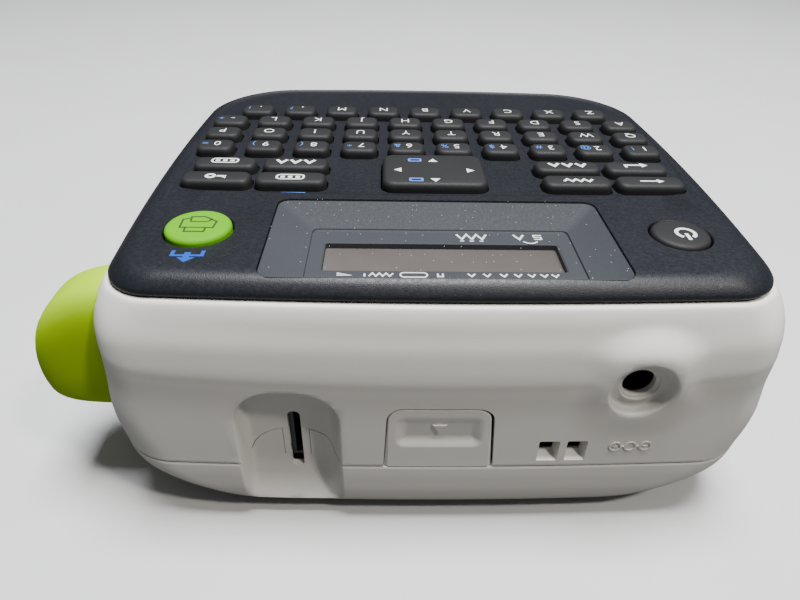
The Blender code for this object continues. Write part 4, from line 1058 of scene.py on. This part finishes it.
# Colour, roughness, grain size and depth, variation and specular level.
MOULDED = {
    "white_plastic": ((0.585, 0.565, 0.53), 0.46, 0.3, 0.010, 0.02),
    "key_rubber": ((0.0105, 0.0105, 0.0115), 0.62, 0.25, 0.02, 0.12, 0.25),
    "green_rubber": ((0.085, 0.295, 0.0), 0.6, 0.3, 0.012, 0.03, 0.12),
    "green_plastic": ((0.30, 0.48, 0.0), 0.55, 0.4, 0.006, 0.03, 0.04),
    "grey_plastic": ((0.10, 0.105, 0.12), 0.5, 0.4, 0.01),
    "bezel_grey": ((0.032, 0.035, 0.041), 0.7, 0.4, 0.004, 0.04, 0.2),
    "display_glass": ((0.078, 0.068, 0.064), 0.35, 8.0, 0.001, 0.06),
    "black_plastic": ((0.012, 0.012, 0.013), 0.4),
    "gear_plastic": ((0.74, 0.72, 0.64), 0.5),
    "platen_rubber": ((0.03, 0.03, 0.03), 0.8, 0.2, 0.03),
    "cassette_plastic": ((0.26, 0.26, 0.27), 0.45),
    "label_tape": ((0.78, 0.78, 0.76), 0.4, 1.5, 0.004),
    "ribbon_film": ((0.015, 0.015, 0.015), 0.25, 1.0, 0.004),
    "cell_jacket": ((0.04, 0.04, 0.05), 0.3, 1.0, 0.003),
}
METALS = {"steel": ((0.56, 0.57, 0.59), 0.3), "aluminium": ((0.72, 0.72, 0.74), 0.38)}
INKS = {
    "legend_white": (0.62, 0.65, 0.61),
    "legend_blue": (0.055, 0.155, 0.52),
    "icon_blue": (0.0, 0.055, 0.32),
    "icon_dark": (0.022, 0.045, 0.01),
}


FINISHES = {"charcoal_plastic": speckled_panel(), "clear_plastic": clear_pane()}
FINISHES["circuit_board"] = board_finish()
FINISHES |= {name: moulded(name, *values) for name, values in MOULDED.items()}
FINISHES |= {name: metal(name, *values) for name, values in METALS.items()}
FINISHES |= {name: printed(name, colour) for name, colour in INKS.items()}


def dress_frame():
    """Gives each CAD node that stays in view the finish of its slot."""
    for part in frame["record"]["subparts"]:
        node = frame["nodes"][part["node"]]
        node.data.materials.clear()
        node.data.materials.append(FINISHES[part["material_slot"]])


# ---- camera, floor and light ----
def camera():
    """A wide lens near the tape end, looking down across the keys, with a slight roll."""
    yaw, pitch, roll = -0.0306, 0.6234, 0.0251
    forward = Matrix.Rotation(yaw, 3, "Z") @ Vector((0, -1, 0))
    right = Matrix.Rotation(yaw, 3, "Z") @ Vector((-1, 0, 0))
    up = Vector((0, 0, 1))
    cosine, sine = math.cos(pitch), math.sin(pitch)
    forward, up = forward * cosine - up * sine, up * cosine + forward * sine
    cosine, sine = math.cos(roll), math.sin(roll)
    right, up = right * cosine + up * sine, up * cosine - right * sine
    data = bpy.data.cameras.new("camera")
    data.lens = 27.22
    data.clip_start, data.clip_end = 0.005, 20.0
    item = new_object("camera", data)
    turn = Matrix((right, up, -forward)).transposed().to_4x4()
    item.matrix_world = Matrix.Translation(Vector((9.31, 119.8, 99.14)) * MM) @ turn
    bpy.context.scene.camera = item


def area_light(name, place, target, size, power, colour):
    """A square light at a place, turned to a target, both in metres."""
    data = bpy.data.lights.new(name, "AREA")
    data.shape = "RECTANGLE"
    data.size = data.size_y = size
    data.energy, data.color = power, colour
    item = new_object(name, data)
    item.location = place
    item.rotation_mode = "QUATERNION"
    item.rotation_quaternion = (Vector(target) - Vector(place)).to_track_quat("-Z", "Y")


def studio():
    """A plain pale floor, a soft sky that the camera sees as even grey, and two lights."""
    nodes = new_material("floor_paper")
    tint = nodes.ramp(nodes.noise(60.0), (0.3, (0.50, 0.50, 0.50)), (0.7, (0.52, 0.52, 0.52)))
    nodes.give("Base Color", tint)
    nodes.give("Roughness", 0.9)
    dim = nodes.add("ShaderNodeBsdfDiffuse", {"Color": (0.12, 0.12, 0.12, 1.0)}).outputs["BSDF"]
    seen = nodes.add("ShaderNodeLightPath").outputs["Is Camera Ray"]
    nodes.surface(seen, dim, nodes.shader.outputs["BSDF"])
    shape = bmesh.new()
    bmesh.ops.create_grid(shape, x_segments=1, y_segments=1, size=4000.0)
    floor = build("floor", shape)
    floor.location.z = -0.0002
    floor.data.materials.append(nodes.owner)

    world = bpy.data.worlds.new("studio")
    bpy.context.scene.world = world
    nodes = Nodes(world, "Background")
    upward = nodes.add("ShaderNodeTexCoord").outputs["Generated"]
    height = nodes.add("ShaderNodeSeparateXYZ", {"Vector": upward}).outputs["Z"]
    levels = ((0.0, 0.03), (0.3, 0.05), (0.5, 0.11), (0.75, 0.08), (1.0, 0.46))
    sky = nodes.ramp(height, *((position, (level, level, level * 1.02)) for position, level in levels))
    seen = nodes.add("ShaderNodeLightPath").outputs["Is Camera Ray"]
    nodes.give("Color", nodes.blend(seen, sky, (0.62, 0.62, 0.62)))
    nodes.give("Strength", 1.0)
    area_light("overhead", (-0.06, 0.0, 0.9), (0.0, 0.0, 0.03), 0.35, 25.0, (0.97, 0.985, 1.0))
    area_light("slant", (-0.40, 0.34, 0.72), (0.0, 0.03, 0.03), 0.07, 4.3, (1.0, 0.95, 0.87))


def main():
    camera()
    dress_frame()
    for draw in (housing_shell, cover_shell, latch_tab, polarity_mark, panel_shell, letter_keys, wide_keys):
        draw()
    for draw in (navigation_pad, round_buttons, printed_marks, display, inlet, cutter_knob):
        draw()
    studio()


main()
